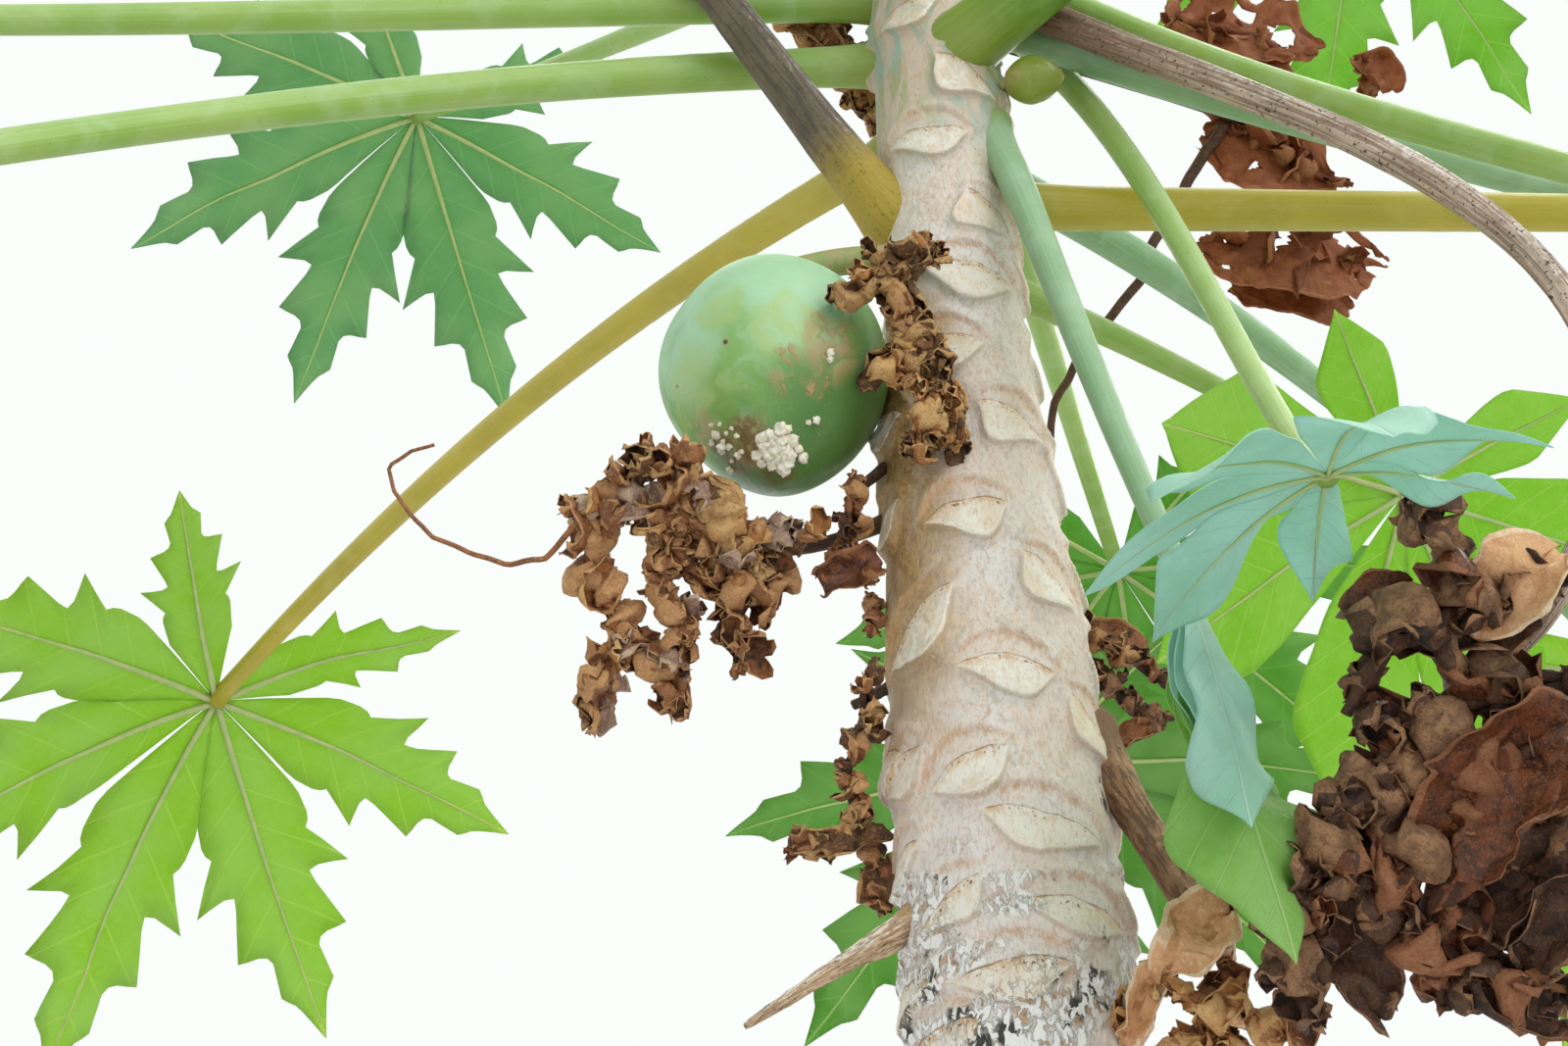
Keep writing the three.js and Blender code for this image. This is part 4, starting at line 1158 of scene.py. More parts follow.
for leaf in dried_leaves:
    look, steps, sides = stem_looks.get(leaf["name"], ("dark", 40, 18))
    old_stems.append(dict(leaf, taper=0.3, ridge=0.12, finish=look, steps=steps, sides=sides))
old_order = ["dying", "grey", "straw", "brown", "dark"]


def old_stem(stem):
    """A shrunken stalk: long ridges between its fibres, and a ragged end."""
    sides = stem["sides"]
    path = stalk_path(stem, stem["steps"])
    t = stalk_steps(stem["steps"])
    steps = len(t)
    radius = stem["thickness"] / 2 * (1 - stem["taper"] * t)
    radius = radius * (1 + 0.35 * np.exp(-t * 12)) * (1 - 0.3 * eased(t, 0.97, 1))
    angle = round_angles(sides)
    circle = np.stack([np.cos(angle), np.sin(angle)], axis=1)
    cylinder = np.concatenate([
        np.broadcast_to(circle * 2.2, (steps, sides, 2)),
        np.broadcast_to((t * 6)[:, None, None], (steps, sides, 1)),
    ], axis=2)
    coarse = lumps(cylinder, 1, stem["z"])
    fine = lumps(cylinder * np.array((3, 3, 1.5)), 1, 2 + stem["z"])
    grooves = -np.abs(lumps(cylinder * np.array((2, 2, 0.7)), 1, 5 + stem["z"])) ** 0.5
    shrunk = eased(t, 0.03, 0.16)[:, None] if stem["finish"] == "dying" else 1
    ridges = stem["ridge"] * (coarse + 0.5 * fine + 1.1 * grooves) * shrunk
    part = rod(path, radius, sides, ridges)
    part["finish"] = old_order.index(stem["finish"])
    part["uv"][:, 0] = np.repeat(t, sides)
    return part


def old_stalk_finish(name, side, top, groove, seat, fleck=0.5, seat_end=0.22):
    """Dried stalk skin: paler on top, partly where weather reached it and partly a painted sheen, dark in
    its grooves, flecked.
    """
    material, shader, place = new_finish(name, 0.72)
    along, around = own_uv(place)
    streak = lengthwise_streaks(along, around, 14, 34, 5.0)
    broad = grain(place, 40, detail=3)
    worn = grain(place, 190, detail=4, warp=0.6)
    speck = grain(place, 420, detail=2)
    # Paler on surfaces that face up: weathering with a painted sheen.
    weathered_and_sheen = plus(facing_up(place), times(reckon("SUBTRACT", worn, 0.5), 1.6))
    from_seat = plus(along, times(worn, 0.06))
    colour = layered(
        side,
        (broad, 0.35, 0.65, 1, tuple(0.75 * c for c in side)),
        (weathered_and_sheen, -0.05, 0.65, 1, top),
        (streak, 0.54, 0.42, 0.8, groove),
        (from_seat, seat_end, 0.09, 1, seat),
        (speck, 0.60, 0.68, fleck, (0.03, 0.022, 0.018)),
    )
    height = plus(streak, times(speck, 0.3))
    dress(shader, colour, height, 0.0016, between(worn, 0.3, 0.7, 0.55, 0.8))
    return material


# Colours: the sides, the top, which is weathered and partly a painted sheen, the grooves and the seat,
# then how many dark flecks.
old_looks = {
    "dying": ((0.17, 0.13, 0.08), (0.42, 0.37, 0.37), (0.08, 0.06, 0.05), (0.42, 0.30, 0.04), 0.4),
    "grey": ((0.62, 0.47, 0.38), (0.86, 0.78, 0.73), (0.24, 0.135, 0.09), (0.19, 0.085, 0.045), 0.9, 0.42),
    "straw": ((0.74, 0.54, 0.36), (0.90, 0.82, 0.72), (0.36, 0.19, 0.09), (0.50, 0.31, 0.17), 0.5),
    "brown": ((0.30, 0.16, 0.08), (0.46, 0.30, 0.18), (0.11, 0.05, 0.025), (0.20, 0.11, 0.06), 0.5),
    "dark": ((0.10, 0.055, 0.03), (0.20, 0.13, 0.08), (0.03, 0.018, 0.012), (0.14, 0.09, 0.05), 0.5),
}
old_finishes = [old_stalk_finish("old_stalk_" + look, *old_looks[look]) for look in old_order]
old_parts = [old_stem(stem) for stem in old_stems]
bare = joined("old_stalks", old_parts[:2], old_finishes)
hand_over(bare, "old_stalk", "stalk_dying", "stalk_broken")
dried_names = [leaf["name"] for leaf in dried_leaves]
dry_stalks = joined("dried_leaf_stalks", old_parts[2:], old_finishes)
hand_over(dry_stalks, "dried_leaf", *dried_names)


# Dried leaves: blades that shrivelled on the tree into hanging chains of curled brown cups. They are thin
# and brittle, darker inside with painted shade in their hollows, worn pale along their edges, and lit with
# a painted highlight on their raised folds.
DRIED_THICKNESS = 0.0005
FINE_STEP = 0.0019
CORE_STEP = 0.003
STRING_STEP = 0.004
# The slots of a tone: face, inside with painted shade, worn edge with painted highlight, inside, inside.
# Each one's back is the next slot.
TONE_FINISHES = 5
WORN_AND_HIGHLIGHT = 2
SHADED_HOLLOW = 3


def wander(points, size, seed):
    """Smooth unevenness in each of three directions, for crumpling."""
    return np.stack([lumps(points, size, seed + 1.3 * k) for k in range(3)], axis=-1)


def dealt_finish(points, tone, depth):
    """A finish for each face of a crumpled grid: a painted highlight on its raised folds, worn on its
    edges, and painted shade in its hollows.
    """
    rows, columns = points.shape[:2]
    # How far each point stands out of the same shape smoothed.
    even = points
    for _ in range(5):
        padded = np.pad(even, ((1, 1), (1, 1), (0, 0)), mode="edge")
        even = (padded[2:, 1:-1] + padded[:-2, 1:-1] + padded[1:-1, 2:] + padded[1:-1, :-2]) / 4
    normal = np.cross(np.gradient(even, axis=1), np.gradient(even, axis=0))
    normal /= np.linalg.norm(normal, axis=2)[..., None] + 1e-9
    out = ((points - even) * normal).sum(axis=2)
    out = (out[1:, 1:] + out[:-1, 1:] + out[1:, :-1] + out[:-1, :-1]) / 4
    finishes = np.full((rows - 1, columns - 1), tone)
    # Raised folds take the worn finish as a painted highlight, and hollows take the inside one as painted
    # shade.
    finishes[out > depth] = tone + WORN_AND_HIGHLIGHT
    finishes[out < -depth] = tone + SHADED_HOLLOW
    finishes[:, (0, -1)] = tone + WORN_AND_HIGHLIGHT
    return finishes


def cupped_scrap(rng, middle, opening, size, rings, spokes, curl, tone):
    """One curled scrap: a disc with a frilled edge that has rolled up into a cup."""
    # A disc bent into a bowl: the further from its middle, the steeper, with folds round its edge.
    r = np.linspace(0.08, 1, rings)[:, None]
    a = round_angles(spokes)[None, :]
    phase = rng.uniform(0, 2 * math.pi, 5)
    bend = curl * rng.uniform(1.3, 2.3)
    folds = rng.integers(3, 6)
    length = 1 + 0.16 * np.cos(2 * a + phase[0]) + 0.12 * np.cos(3 * a + phase[1])
    angle = bend * r * (1 + 0.22 * np.cos(a + phase[2]) + 0.20 * r * np.sin(folds * a + phase[3]))
    reach = size * length * np.sin(angle) / bend
    reach = reach * (1 + 0.16 * r**2 * np.sin((folds + 2) * a + phase[4]))
    rise = size * length * (1 - np.cos(angle)) / bend
    points = np.stack([reach * np.cos(a), reach * np.sin(a), rise], axis=-1)
    # Crumpled, more finely towards the edge, and turned to face the way that it opens.
    points = points + 0.16 * size * wander(points, size * 0.30, phase[0])
    points = points + 0.07 * size * r[..., None] * wander(points, size * 0.13, phase[1])
    up = unit(opening)
    side = unit(np.cross(up, rng.normal(size=3)))
    placed = points @ np.stack([side, np.cross(up, side), up]) + middle
    finishes = np.full((rings - 1, spokes), tone)
    # The cup's rim is worn pale, and its bottom has painted shade.
    finishes[-1] = tone + WORN_AND_HIGHLIGHT
    finishes[: rings // 3] = tone + SHADED_HOLLOW
    return dict(points=placed.reshape(-1, 3), faces=grid_faces(rings, spokes, closed=True),
                caps=[tuple(reversed(range(spokes)))], finish=[*finishes.ravel(), tone + SHADED_HOLLOW])


def strand_points(strand, spacing):
    """Points at even spacing along a strand."""
    strand = np.array(strand)
    steps = np.linalg.norm(np.diff(strand, axis=0), axis=1)
    total = np.concatenate([[0], np.cumsum(steps)])
    where = np.arange(0, total[-1], spacing)
    return np.stack([np.interp(where, total, strand[:, k]) for k in range(3)], axis=1)


def crumpled_wrap(rng, strand, reach, wraps, tone, knob, spacing, columns=22):
    """A strip of dead blade shrivelled round its rib into a chain of knobs, crumpled like paper."""
    # The rib that the strip shrivelled round is a little crooked.
    strand = np.array(strand) + rng.normal(size=(len(strand), 3)) * reach * 0.18
    path = strand_points(strand, spacing)
    rows = len(path)
    if rows < 6:
        return None
    seeds = rng.uniform(0, 9, 8)
    path = path + 0.30 * reach * wander(path, 0.016, seeds[7])
    side, other = ways_across(path, axis=1)
    u = np.broadcast_to(np.arange(rows)[:, None] * spacing, (rows, columns))
    v = np.broadcast_to(np.linspace(-1, 1, columns)[None, :], (rows, columns))
    sheet = np.stack([u, v * wraps * reach, np.full_like(u, seeds[6] * 0.1)], axis=-1)
    # How far round the rib each point of the strip is, and how far off it, in knobs.
    turn = rng.uniform(0, 2 * math.pi) + v * wraps + 1.5 * lumps(sheet, 0.020, seeds[0])
    wave = 2 * math.pi * u / knob + seeds[1] + 1.2 * lumps(sheet, 0.02, seeds[1])
    knobs = 0.72 + 0.42 * np.sin(wave)
    edge = np.abs(v) ** 3
    taper = np.sin(np.pi * np.clip(np.linspace(0, 1, rows), 0.06, 0.94))[:, None] ** 0.4
    away = reach * taper * (knobs + 0.30 * lumps(sheet, 0.011, seeds[2]) - 0.25 * edge)
    away = np.maximum(away, 0.0012)
    points = path[:, None] + (away * np.cos(turn))[..., None] * side[:, None]
    points = points + (away * np.sin(turn))[..., None] * other[:, None]
    # Crumpled in three sizes, the finest along the strip's edges.
    big = 0.34 * wander(sheet, 1.25 * reach, seeds[3]) + 0.24 * wander(sheet, 0.62 * reach, seeds[4])
    frill = (0.12 + 0.45 * edge)[..., None] * wander(sheet, 0.36 * reach, seeds[5])
    points = points + reach * (big + frill)
    finish = dealt_finish(points, tone, 0.045 * reach).ravel()
    return dict(points=points.reshape(-1, 3), faces=grid_faces(rows, columns), finish=finish)


def curled_blade(rng, start, end, width, curl, tone, holes=None, crumple=0.13):
    """A flat scrap of dead blade from one point to another, rolled across, crumpled and ragged."""
    step = 0.0024
    start, end = np.array(start), np.array(end)
    length = np.linalg.norm(end - start)
    rows, columns = max(8, int(length / step)), max(8, int(width / step))
    ahead = (end - start) / length
    forward = np.array((0, -1.0, 0))
    out = unit(forward - ahead * forward.dot(ahead))
    side = np.cross(ahead, out)
    u, v = np.meshgrid(np.linspace(0, 1, rows), np.linspace(-1, 1, columns), indexing="ij")
    seeds = rng.uniform(0, 9, 8)
    flat = np.stack([u * length, v * width / 2, np.full_like(u, rng.uniform(0, 1))], axis=-1)
    # A ragged outline, which the roll across it then follows.
    edge = flat * (1, 0, 1) + np.sign(v)[..., None] * (0, 0.05, 0)
    ragged = 0.34 * lumps(edge, 0.017, seeds[0]) + 0.20 * lumps(edge, 0.006, seeds[6])
    outline = np.sin(np.pi * np.clip(u, 0.02, 0.98)) ** 0.45 * (1 + ragged)
    across = v * width / 2 * outline
    roll = curl * (1 + 0.5 * lumps(edge, 0.025, seeds[1])) / (width / 2)
    along = u * length + 0.16 * width * lumps(flat, 0.02, seeds[2])
    bow = 0.18 * length * np.sin(np.pi * u) * rng.uniform(-0.5, 1)
    lift = (1 - np.cos(across * roll)) / roll + bow
    points = start + along[..., None] * ahead + (np.sin(across * roll) / roll)[..., None] * side
    points = points + lift[..., None] * out
    points = points + crumple * width * wander(flat, 0.34 * width, seeds[3])
    points = points + 0.0026 * wander(flat, 0.0095, seeds[4]) + 0.0010 * wander(flat, 0.0048, seeds[5])
    finish = dealt_finish(points, tone, 0.0011).ravel()
    faces = grid_faces(rows, columns)
    # Torn holes, away from the edges.
    if holes is not None:
        torn = lumps(flat, 0.016, 7 + seeds[0])[:-1, :-1] > holes
        torn &= np.abs(np.linspace(-1, 1, columns - 1)) < 0.85
        faces = faces[~torn.ravel()]
        finish = finish[~torn.ravel()]
    return dict(points=points.reshape(-1, 3), faces=faces, finish=finish)


def shrivelled(leaf, rng, rings, spokes, curl):
    """The wraps, loose cups, flat scraps and twisted cores of one dried leaf."""
    scraps = []
    cores = []
    reach = leaf["reach"]
    tones = [TONE_FINISHES * tone for tone in leaf["tones"]]
    for number, strand in enumerate(leaf["strands"]):
        for share, wraps in leaf.get("wraps", ((1.0, 2.0),)):
            tone = rng.choice(tones)
            step = leaf.get("fine", FINE_STEP)
            wrap = crumpled_wrap(rng, strand, reach * share, wraps, tone, 2.2 * reach, step)
            if wrap:
                scraps.append(wrap)
        for middle in strand_points(strand, leaf["spacing"]):
            away = rng.normal(size=3) + (0, -0.7, 0)
            away *= reach * rng.uniform(0.12, 0.55) / np.linalg.norm(away)
            size = leaf["flake"] * rng.uniform(0.55, 1.15)
            opening = away / reach + 0.5 * rng.normal(size=3)
            tone = rng.choice(tones)
            scraps.append(cupped_scrap(rng, middle + away, opening, size, rings, spokes, curl, tone))
        path = strand_points(strand, CORE_STEP)
        if len(path) < 4:
            continue
        path = path + 0.003 * wander(path, 0.015, number)
        t = np.linspace(0, 1, len(path))
        radius = reach * 0.30 * (0.4 + 0.6 * np.sin(np.pi * np.clip(t, 0.04, 0.96)) ** 0.5)
        angle = round_angles(12)
        circle = 0.006 * np.stack([np.cos(angle), np.sin(angle), 0 * angle], axis=1)
        core = rod(path, radius, 12, 0.35 * lumps(path[:, None] + circle, 0.006, number))
        # The core, under its wraps, has the inside finish as painted shade.
        core["finish"] = tones[0] + SHADED_HOLLOW
        cores.append(core)
    for start, end, width, bend, options in leaf.get("blades", ()):
        options = dict(options)
        tone = TONE_FINISHES * options.pop("tone") if "tone" in options else rng.choice(tones)
        scraps.append(curled_blade(rng, start, end, width, bend, tone, **options))
    for path, thick in leaf.get("strings", ()):
        path = strand_points(path, STRING_STEP)
        path = path + 0.0012 * wander(path, 0.012, len(path))
        string = rod(path, thick * np.linspace(1, 0.6, len(path)), 8)
        string["finish"] = TONE_FINISHES * leaf.get("string_tone", leaf["tones"][0])
        cores.append(string)
    return scraps, cores


def dried_finish(name, main, other, streak, roughness=0.7, through=0.0):
    """Dead leaf: two browns in crumpled patches with fine wrinkles, and a dull shine on its folds."""
    material, shader, place = new_finish(name, roughness, Specular_IOR_Level=0.4)
    patch = grain(place, 110, detail=4, warp=0.6)
    wrinkle = grain(place, 420, detail=4, warp=1.2)
    colour = layered(main, (patch, 0.40, 0.60, 1, other), (wrinkle, 0.50, 0.66, 0.6, streak))
    rough = between(wrinkle, 0.3, 0.7, roughness - 0.15, roughness + 0.12)
    dress(shader, colour, wrinkle, 0.0009, rough)
    if through:
        let_light_through(shader, (0.55, 0.20, 0.06, 1), through)
    return material


# Browns of each tone: the face, its patches, its wrinkles, the inside with painted shade, and the worn
# edge, also a painted highlight on folds.
dried_tones = [
    ("red_brown", (0.310, 0.120, 0.045), (0.190, 0.070, 0.028), (0.48, 0.25, 0.115),
     (0.055, 0.019, 0.009), (0.58, 0.32, 0.140)),
    ("dark_gold", (0.145, 0.062, 0.024), (0.080, 0.034, 0.015), (0.36, 0.195, 0.075),
     (0.026, 0.011, 0.006), (0.55, 0.33, 0.140)),
    ("golden", (0.46, 0.195, 0.065), (0.30, 0.115, 0.038), (0.56, 0.31, 0.12),
     (0.12, 0.040, 0.014), (0.68, 0.43, 0.19)),
    ("tan", (0.74, 0.42, 0.22), (0.60, 0.30, 0.14), (0.80, 0.56, 0.37),
     (0.44, 0.20, 0.085), (0.86, 0.66, 0.47)),
    ("dark", (0.090, 0.036, 0.017), (0.050, 0.021, 0.012), (0.19, 0.095, 0.052),
     (0.022, 0.010, 0.006), (0.33, 0.17, 0.085)),
    ("rust", (0.25, 0.065, 0.022), (0.34, 0.105, 0.036), (0.44, 0.17, 0.065),
     (0.15, 0.040, 0.014), (0.46, 0.20, 0.09)),
    ("glossy", (0.17, 0.048, 0.017), (0.070, 0.024, 0.012), (0.26, 0.10, 0.045),
     (0.060, 0.021, 0.010), (0.30, 0.13, 0.06)),
    ("lilac_grey", (0.32, 0.195, 0.145), (0.20, 0.105, 0.070), (0.50, 0.35, 0.27),
     (0.065, 0.032, 0.020), (0.60, 0.42, 0.28)),
]
dried_finishes = []
# The inside finish is partly painted shade, and the worn finish is partly a painted highlight.
for tone_name, main, other, streak, inside_and_shade, worn in dried_tones:
    thin = 0.25 if tone_name == "rust" else 0.0
    dull = 0.36 if tone_name == "glossy" else 0.60
    face_finish = dried_finish("dried_" + tone_name, main, other, streak, dull, thin)
    inside_and_shade_finish = dried_finish("dried_inside_and_shade_" + tone_name, inside_and_shade, main, other, 0.72, thin)
    worn_and_highlight_finish = dried_finish("dried_edge_and_highlight_" + tone_name, worn, streak, main, 0.75, thin)
    dried_finishes += [face_finish, inside_and_shade_finish, worn_and_highlight_finish, inside_and_shade_finish, inside_and_shade_finish]

dried_groups = {
    "dried_flakes_under_fruit": ("dry_leaf_under_fruit",),
    "dried_flakes_by_trunk": (
        "dry_leaf_over_fruit", "dry_leaf_behind_fruit", "dry_leaf_left_low", "dry_leaf_right",
    ),
    "dried_flakes_far": ("dry_leaf_left_top", "dry_leaf_right_low", "dry_leaf_on_long_stalk"),
    "dried_flakes_behind": ("dry_leaf_back_right", "dry_leaf_back"),
}
coarse_groups = ("dried_flakes_far", "dried_flakes_behind")
core_group = []
for number, (piece_name, names) in enumerate(dried_groups.items()):
    far = piece_name in coarse_groups
    # The leaves behind go on with the draws of the far ones.
    if piece_name != "dried_flakes_behind":
        rng = np.random.default_rng(60 + number)
    parts = []
    for leaf in dried_leaves:
        if leaf["name"] not in names:
            continue
        curl = 0.6 if leaf["tones"][0] in (3, 5) else 1.0
        scraps, cores = shrivelled(leaf, rng, 6 if far else 8, 14 if far else 22, curl)
        parts += scraps
        core_group += cores
    pieces_of_leaf = joined(piece_name, parts, dried_finishes)
    apply_solidify(pieces_of_leaf, DRIED_THICKNESS)
    hand_over(pieces_of_leaf, "dried_leaf", *names)
cores = joined("dried_cores", core_group, dried_finishes)
hand_over(cores, "dried_leaf", *dried_names)


# Fruit: two unripe green ones close against the trunk, each on a short stem. The large one has a pale
# bloom, partly a painted sky reflection on its top, painted shade on its right and lower side, a russet
# scrape, and beads of dried milky sap where its skin was pricked.
LARGE_CENTRE = np.array((-0.173, -0.018, 2.382))
LARGE_POLE = np.array(Vector((-0.06, 0.1, 1)).normalized())
LARGE_LENGTH = 0.160
SMALL_CENTRE = np.array((-0.017, -0.023, 2.598))
SMALL_POLE = np.array(Vector((-1, 0.3, 0.1)).normalized())
SMALL_LENGTH = 0.039


def fruit_skin(name, centre, pole, radius, length, rings, spokes):
    """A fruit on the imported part's own profile, its five sides just showing."""
    piece = lone(bpy.ops.mesh.primitive_uv_sphere_add, segments=spokes, ring_count=rings, radius=1)
    piece.name = name
    ball = np.zeros(len(piece.data.vertices) * 3)
    piece.data.vertices.foreach_get("co", ball)
    ball = ball.reshape(-1, 3)
    t = np.arccos(np.clip(-ball[:, 2], -1, 1)) / math.pi
    turn = np.arctan2(ball[:, 1], ball[:, 0])
    # The profile from end to end, its five sides, and a dip round its stem.
    reach = radius * np.sin(math.pi * t) ** 0.66 * (1 - 0.03 * np.cos(math.pi * t))
    reach = reach * (1 + 0.012 * np.cos(5 * turn) * np.sin(math.pi * t) + 0.008 * lumps(ball, 0.5, 2))
    shaped = np.stack([reach * np.cos(turn), reach * np.sin(turn), length * (t - 0.5)], axis=1)
    shaped[:, 2] -= 0.05 * length * eased(t, 0.90, 1)
    side = unit(np.cross(pole, (0, 1, 0)))
    other = np.cross(pole, side)
    points = centre + shaped[:, :1] * side + shaped[:, 1:2] * other + shaped[:, 2:] * pole
    piece.data.vertices.foreach_set("co", points.ravel())
    bpy.ops.object.shade_smooth()
    return piece, points


def patch_mark(points, spots):
    """1 at each spot, fading to 0 at its edge."""
    total = np.zeros(len(points))
    for x, y, z, size in spots:
        away = np.linalg.norm(points - np.array((x, y, z)), axis=1)
        away = away + 0.35 * size * lumps(points, size * 0.5, 4)
        total = np.maximum(total, 1 - eased(away, size * 0.5, size))
    return total


def fruit_finish(name, main, other, hazy, pricks):
    """Waxy skin: two greens in soft clouds, a bluish bloom that is partly a painted reflection, painted
    shade where marked dark, fine pale dots, and rubbed brown scars.
    """
    sheen = dict(Specular_IOR_Level=0.5, Coat_Weight=0.15, Coat_Roughness=0.35)
    material, shader, place = new_finish(name, 0.38, **sheen)
    broad = grain(place, 20, detail=4, warp=0.4)
    cloud = grain(place, 60, detail=4, warp=0.8)
    fine = grain(place, 240, detail=3)
    speck = grain(place, 620, detail=1)
    scratch = grain(place, 190, (1, 1, 0.7), detail=7, warp=0.5)
    bloom = marked(place, "bloom")
    # Bluish bloom, partly a painted sky reflection on the top and left.
    bloom_and_reflection = times(bloom, between(broad, 0.3, 0.6, 0.45, 0.9))
    yellow = times(marked(place, "yellow"), between(cloud, 0.3, 0.6, 0.2, 0.6))
    scratch = times(between(scratch, 0.50, 0.57), 0.85)
    smudge = reckon("MAXIMUM", scratch, between(cloud, 0.42, 0.60, 0.20, 0.70))
    rubbed = times(marked(place, "russet"), smudge)
    crusted = times(marked(place, "crust"), between(fine, 0.40, 0.56, 0.15, 0.9))
    colour = mixed(between(broad, 0.35, 0.65), main, other)
    colour = mixed(bloom_and_reflection, colour, hazy)
    colour = layered(colour, (cloud, 0.45, 0.65, 0.35, hazy))
    # Painted shade: darker green on the right and lower side.
    colour = mixed(marked(place, "dark"), colour, (0.085, 0.20, 0.045))
    colour = mixed(yellow, colour, (0.40, 0.52, 0.14))
    colour = mixed(rubbed, colour, (0.42, 0.27, 0.12))
    colour = mixed(crusted, colour, (0.17, 0.10, 0.035))
    colour = layered(colour, (speck, 0.68, 0.75, 0.3, (0.40, 0.52, 0.26)))
    for spot, size in pricks:
        gap = put(place.id_data, "VectorMath", {0: place, 1: spot}, operation="DISTANCE")
        away = plus(gap.outputs["Value"], times(fine, 0.6 * size))
        colour = layered(
            colour,
            (away, 1.7 * size, 1.3 * size, 0.5, (0.42, 0.38, 0.16)),
            (away, 1.1 * size, 0.8 * size, 0.9, (0.05, 0.03, 0.02)),
        )
    height = plus(fine, times(rubbed, 1.5))
    rough = plus(between(fine, 0.3, 0.7, 0.30, 0.42), times(bloom, 0.15))
    dress(shader, colour, height, 0.0004, rough)
    return material


fruit_green = fruit_finish(
    "fruit_green", (0.15, 0.34, 0.07), (0.23, 0.44, 0.11), (0.40, 0.65, 0.44),
    [((-0.1995, -0.0740, 2.3640), 0.0022), ((-0.2270, -0.0420, 2.3570), 0.0017),
     ((-0.2020, -0.0610, 2.3400), 0.0012), ((-0.1880, -0.0650, 2.3410), 0.0014)],
)
large, large_points = fruit_skin(
    "fruit_large_skin", LARGE_CENTRE, LARGE_POLE, 0.0645, LARGE_LENGTH, 96, 128
)
# Where each mark lies on the large fruit: the middle of its spots, and their size.
large_marks = {
    # bloom: partly a painted sky reflection, on the top and left.
    "bloom": [
        (-0.168, -0.063, 2.431, 0.070), (-0.221, -0.060, 2.390, 0.050), (-0.160, -0.080, 2.385, 0.040),
    ],
    "yellow": [
        (-0.203, -0.075, 2.387, 0.018), (-0.168, -0.081, 2.374, 0.024), (-0.215, -0.050, 2.350, 0.03),
    ],
    "russet": [
        (-0.144, -0.071, 2.364, 0.022), (-0.151, -0.064, 2.343, 0.010), (-0.184, -0.046, 2.318, 0.020),
        (-0.208, -0.036, 2.329, 0.016), (-0.166, -0.075, 2.356, 0.008), (-0.171, -0.068, 2.343, 0.008),
    ],
    "crust": [
        (-0.186, -0.046, 2.320, 0.017), (-0.203, -0.036, 2.321, 0.012), (-0.172, -0.038, 2.305, 0.014),
        (-0.195, -0.030, 2.312, 0.012),
    ],
    # dark: painted shade on the right and lower side.
    "dark": [
        (-0.122, -0.010, 2.335, 0.085), (-0.112, -0.006, 2.375, 0.070), (-0.160, -0.010, 2.302, 0.055),
    ],
}
for mark_name, spots in large_marks.items():
    mark(large, mark_name, patch_mark(large_points, spots))
large.data.materials.append(fruit_green)
hand_over(large, "fruit_skin", "fruit_large")

olive_green = fruit_finish(
    "fruit_olive", (0.26, 0.30, 0.03), (0.19, 0.25, 0.03), (0.34, 0.38, 0.09),
    [((0.003, -0.032, 2.597), 0.0045)],
)
small, small_points = fruit_skin(
    "fruit_small_skin", SMALL_CENTRE, SMALL_POLE, 0.015, SMALL_LENGTH, 40, 56
)
for mark_name in large_marks:
    spots = [(-0.036, -0.030, 2.595, 0.012)] if mark_name == "russet" else []
    mark(small, mark_name, patch_mark(small_points, spots))
small.data.materials.append(olive_green)
hand_over(small, "fruit_skin", "fruit_small")

stem_finish = grained_finish(
    "fruit_stem", 0.55, (0.26, 0.34, 0.10), (0.40, 0.32, 0.16), 160, (1, 1, 0.4), detail=4, depth=0.001
)
STEM_STEPS = 24
stem_parts = []
fruit_stems = [
    (2.478, 200, LARGE_CENTRE, LARGE_POLE, LARGE_LENGTH, 0.008),
    (2.606, 350, SMALL_CENTRE, SMALL_POLE, SMALL_LENGTH, 0.003),
]
for z, bearing, centre, pole, length, thick in fruit_stems:
    crown = centre + pole * (length / 2 - thick)
    path = stalk_path(dict(z=z, bearing=bearing, end=crown, lift=thick), STEM_STEPS)
    t = stalk_steps(STEM_STEPS)
    radius = thick * (1 + 0.35 * np.exp(-t * 8) + 0.3 * np.exp((t - 1) * 10))
    stem_parts.append(rod(path, radius, 20))
stems = joined("fruit_stems", stem_parts, [stem_finish])
hand_over(stems, "fruit_skin", "fruit_large", "fruit_small")

# Beads of dried sap on the large fruit: place on the skin, and size.
sap_finish = grained_finish("dried_sap", 0.45, (0.88, 0.85, 0.76), (0.80, 0.72, 0.56), 300)
bead_places = [
    (-0.201, -0.036, 2.322, 0.0030), (-0.197, -0.023, 2.316, 0.0022), (-0.205, -0.040, 2.327, 0.0022),
    (-0.209, -0.034, 2.322, 0.0018), (-0.192, -0.036, 2.318, 0.0020), (-0.151, -0.053, 2.328, 0.0022),
    (-0.155, -0.053, 2.326, 0.0016), (-0.144, -0.069, 2.360, 0.0022), (-0.143, -0.069, 2.356, 0.0018),
]
BEAD_TURN = 2.4
rng = np.random.default_rng(77)
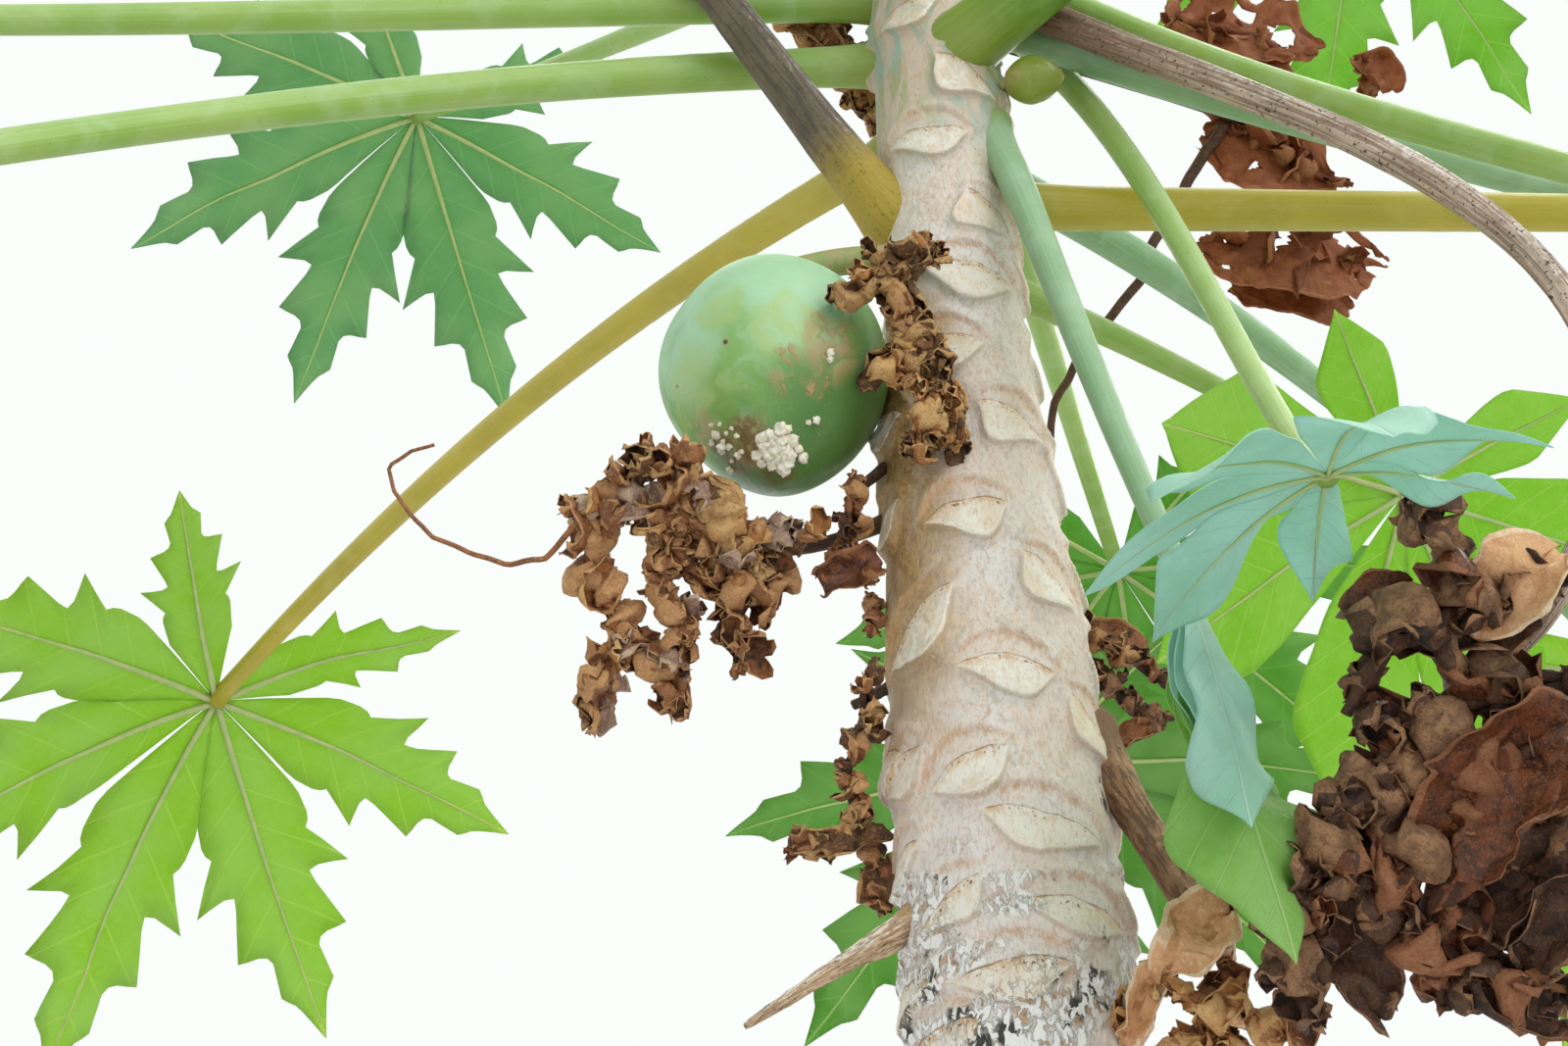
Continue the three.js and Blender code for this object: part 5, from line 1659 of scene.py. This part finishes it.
# Clusters: middle, how many beads, how far they spread, and the size of the largest.
clusters = [((-0.171, -0.046, 2.312), 30, 0.0026, 0.0044), ((-0.199, -0.040, 2.324), 12, 0.0034, 0.0020)]
for middle, count, spread, size in clusters:
    outward = unit(np.array(middle) - LARGE_CENTRE)
    across = unit(np.cross(outward, (0, 0, 1)))
    upward = np.cross(across, outward)
    for number in range(count):
        turn = BEAD_TURN * number
        away = spread * math.sqrt(number + 0.3) * rng.uniform(0.7, 1.15)
        x, y, z = np.array(middle) + away * (math.cos(turn) * across + math.sin(turn) * upward)
        bead_places.append((x, y, z, size * rng.uniform(0.55, 1.0) * (1.1 - 0.35 * away / 0.015)))
ball = lone(bpy.ops.mesh.primitive_ico_sphere_add, subdivisions=3, radius=1)
ball_points = np.array([v.co for v in ball.data.vertices])
ball_faces = np.array([tuple(p.vertices) for p in ball.data.polygons])
bpy.data.objects.remove(ball)
bead_parts = []
skin_reach = np.linalg.norm(large_points - LARGE_CENTRE, axis=1)
skin_directions = (large_points - LARGE_CENTRE) / skin_reach[:, None]
# Each bead is a knobbly ball, seated on the skin.
for number, (x, y, z, size) in enumerate(bead_places):
    toward = unit(np.array((x, y, z)) - LARGE_CENTRE)
    seat = LARGE_CENTRE + toward * skin_reach[np.argmax(skin_directions @ toward)]
    knobbly = ball_points * (1 + 0.45 * lumps(ball_points + number, 0.55, number))[:, None]
    knobbly += 0.22 * lumps(ball_points * 3 + number, 0.6, number)[:, None] * ball_points
    bead_parts.append(dict(points=seat + knobbly * size + 0.3 * size * toward, faces=ball_faces))
beads = joined("dried_sap_beads", bead_parts, [sap_finish])
hand_over(beads, "fruit_skin", "fruit_large")


# Floor, lights and camera. The floor is a plain pale ground and the light is soft, from above and
# from both sides. The camera looks up at the middle of the trunk.
floor = lone(bpy.ops.mesh.primitive_plane_add, size=12, location=(0, 0, -0.002))
floor.name = "floor"
bpy.ops.object.transform_apply(location=True, rotation=True, scale=True)
floor.data.materials.append(new_finish("floor", 0.8, Base_Color=(0.46, 0.46, 0.45, 1))[0])

scene = bpy.context.scene
scene.view_settings.view_transform = "Standard"
scene.view_settings.look = "None"
world = bpy.data.worlds.new("pale_room")
world.use_nodes = True
background = world.node_tree.nodes["Background"]
background.inputs["Color"].default_value = (0.93, 0.96, 0.94, 1)
background.inputs["Strength"].default_value = 1.03
scene.world = world


def soft_light(name, place, spread, strength, colour):
    """Wide soft light that comes from the side of the tree where place is."""
    light = bpy.data.lights.new(name, "SUN")
    light.angle = math.radians(spread)
    light.energy = strength
    light.color = colour
    lamp = bpy.data.objects.new(name, light)
    lamp.location = place
    lamp.rotation_euler = (-Vector(place)).to_track_quat("-Z", "Y").to_euler()
    scene.collection.objects.link(lamp)


soft_light("front_right", (2.6, -2.2, 2.2), 60, 2.1, (1.0, 0.985, 0.95))
soft_light("overhead_back", (1.4, 2.6, 3.6), 60, 2.2, (1.0, 0.99, 0.95))

camera_data = bpy.data.cameras.new("camera")
camera_data.lens = 55
camera_data.sensor_width = 36
camera = bpy.data.objects.new("camera", camera_data)
camera.location = (-0.168, -1.113, 1.600)
camera.rotation_euler = (math.radians(122), 0, 0)
scene.collection.objects.link(camera)
scene.camera = camera
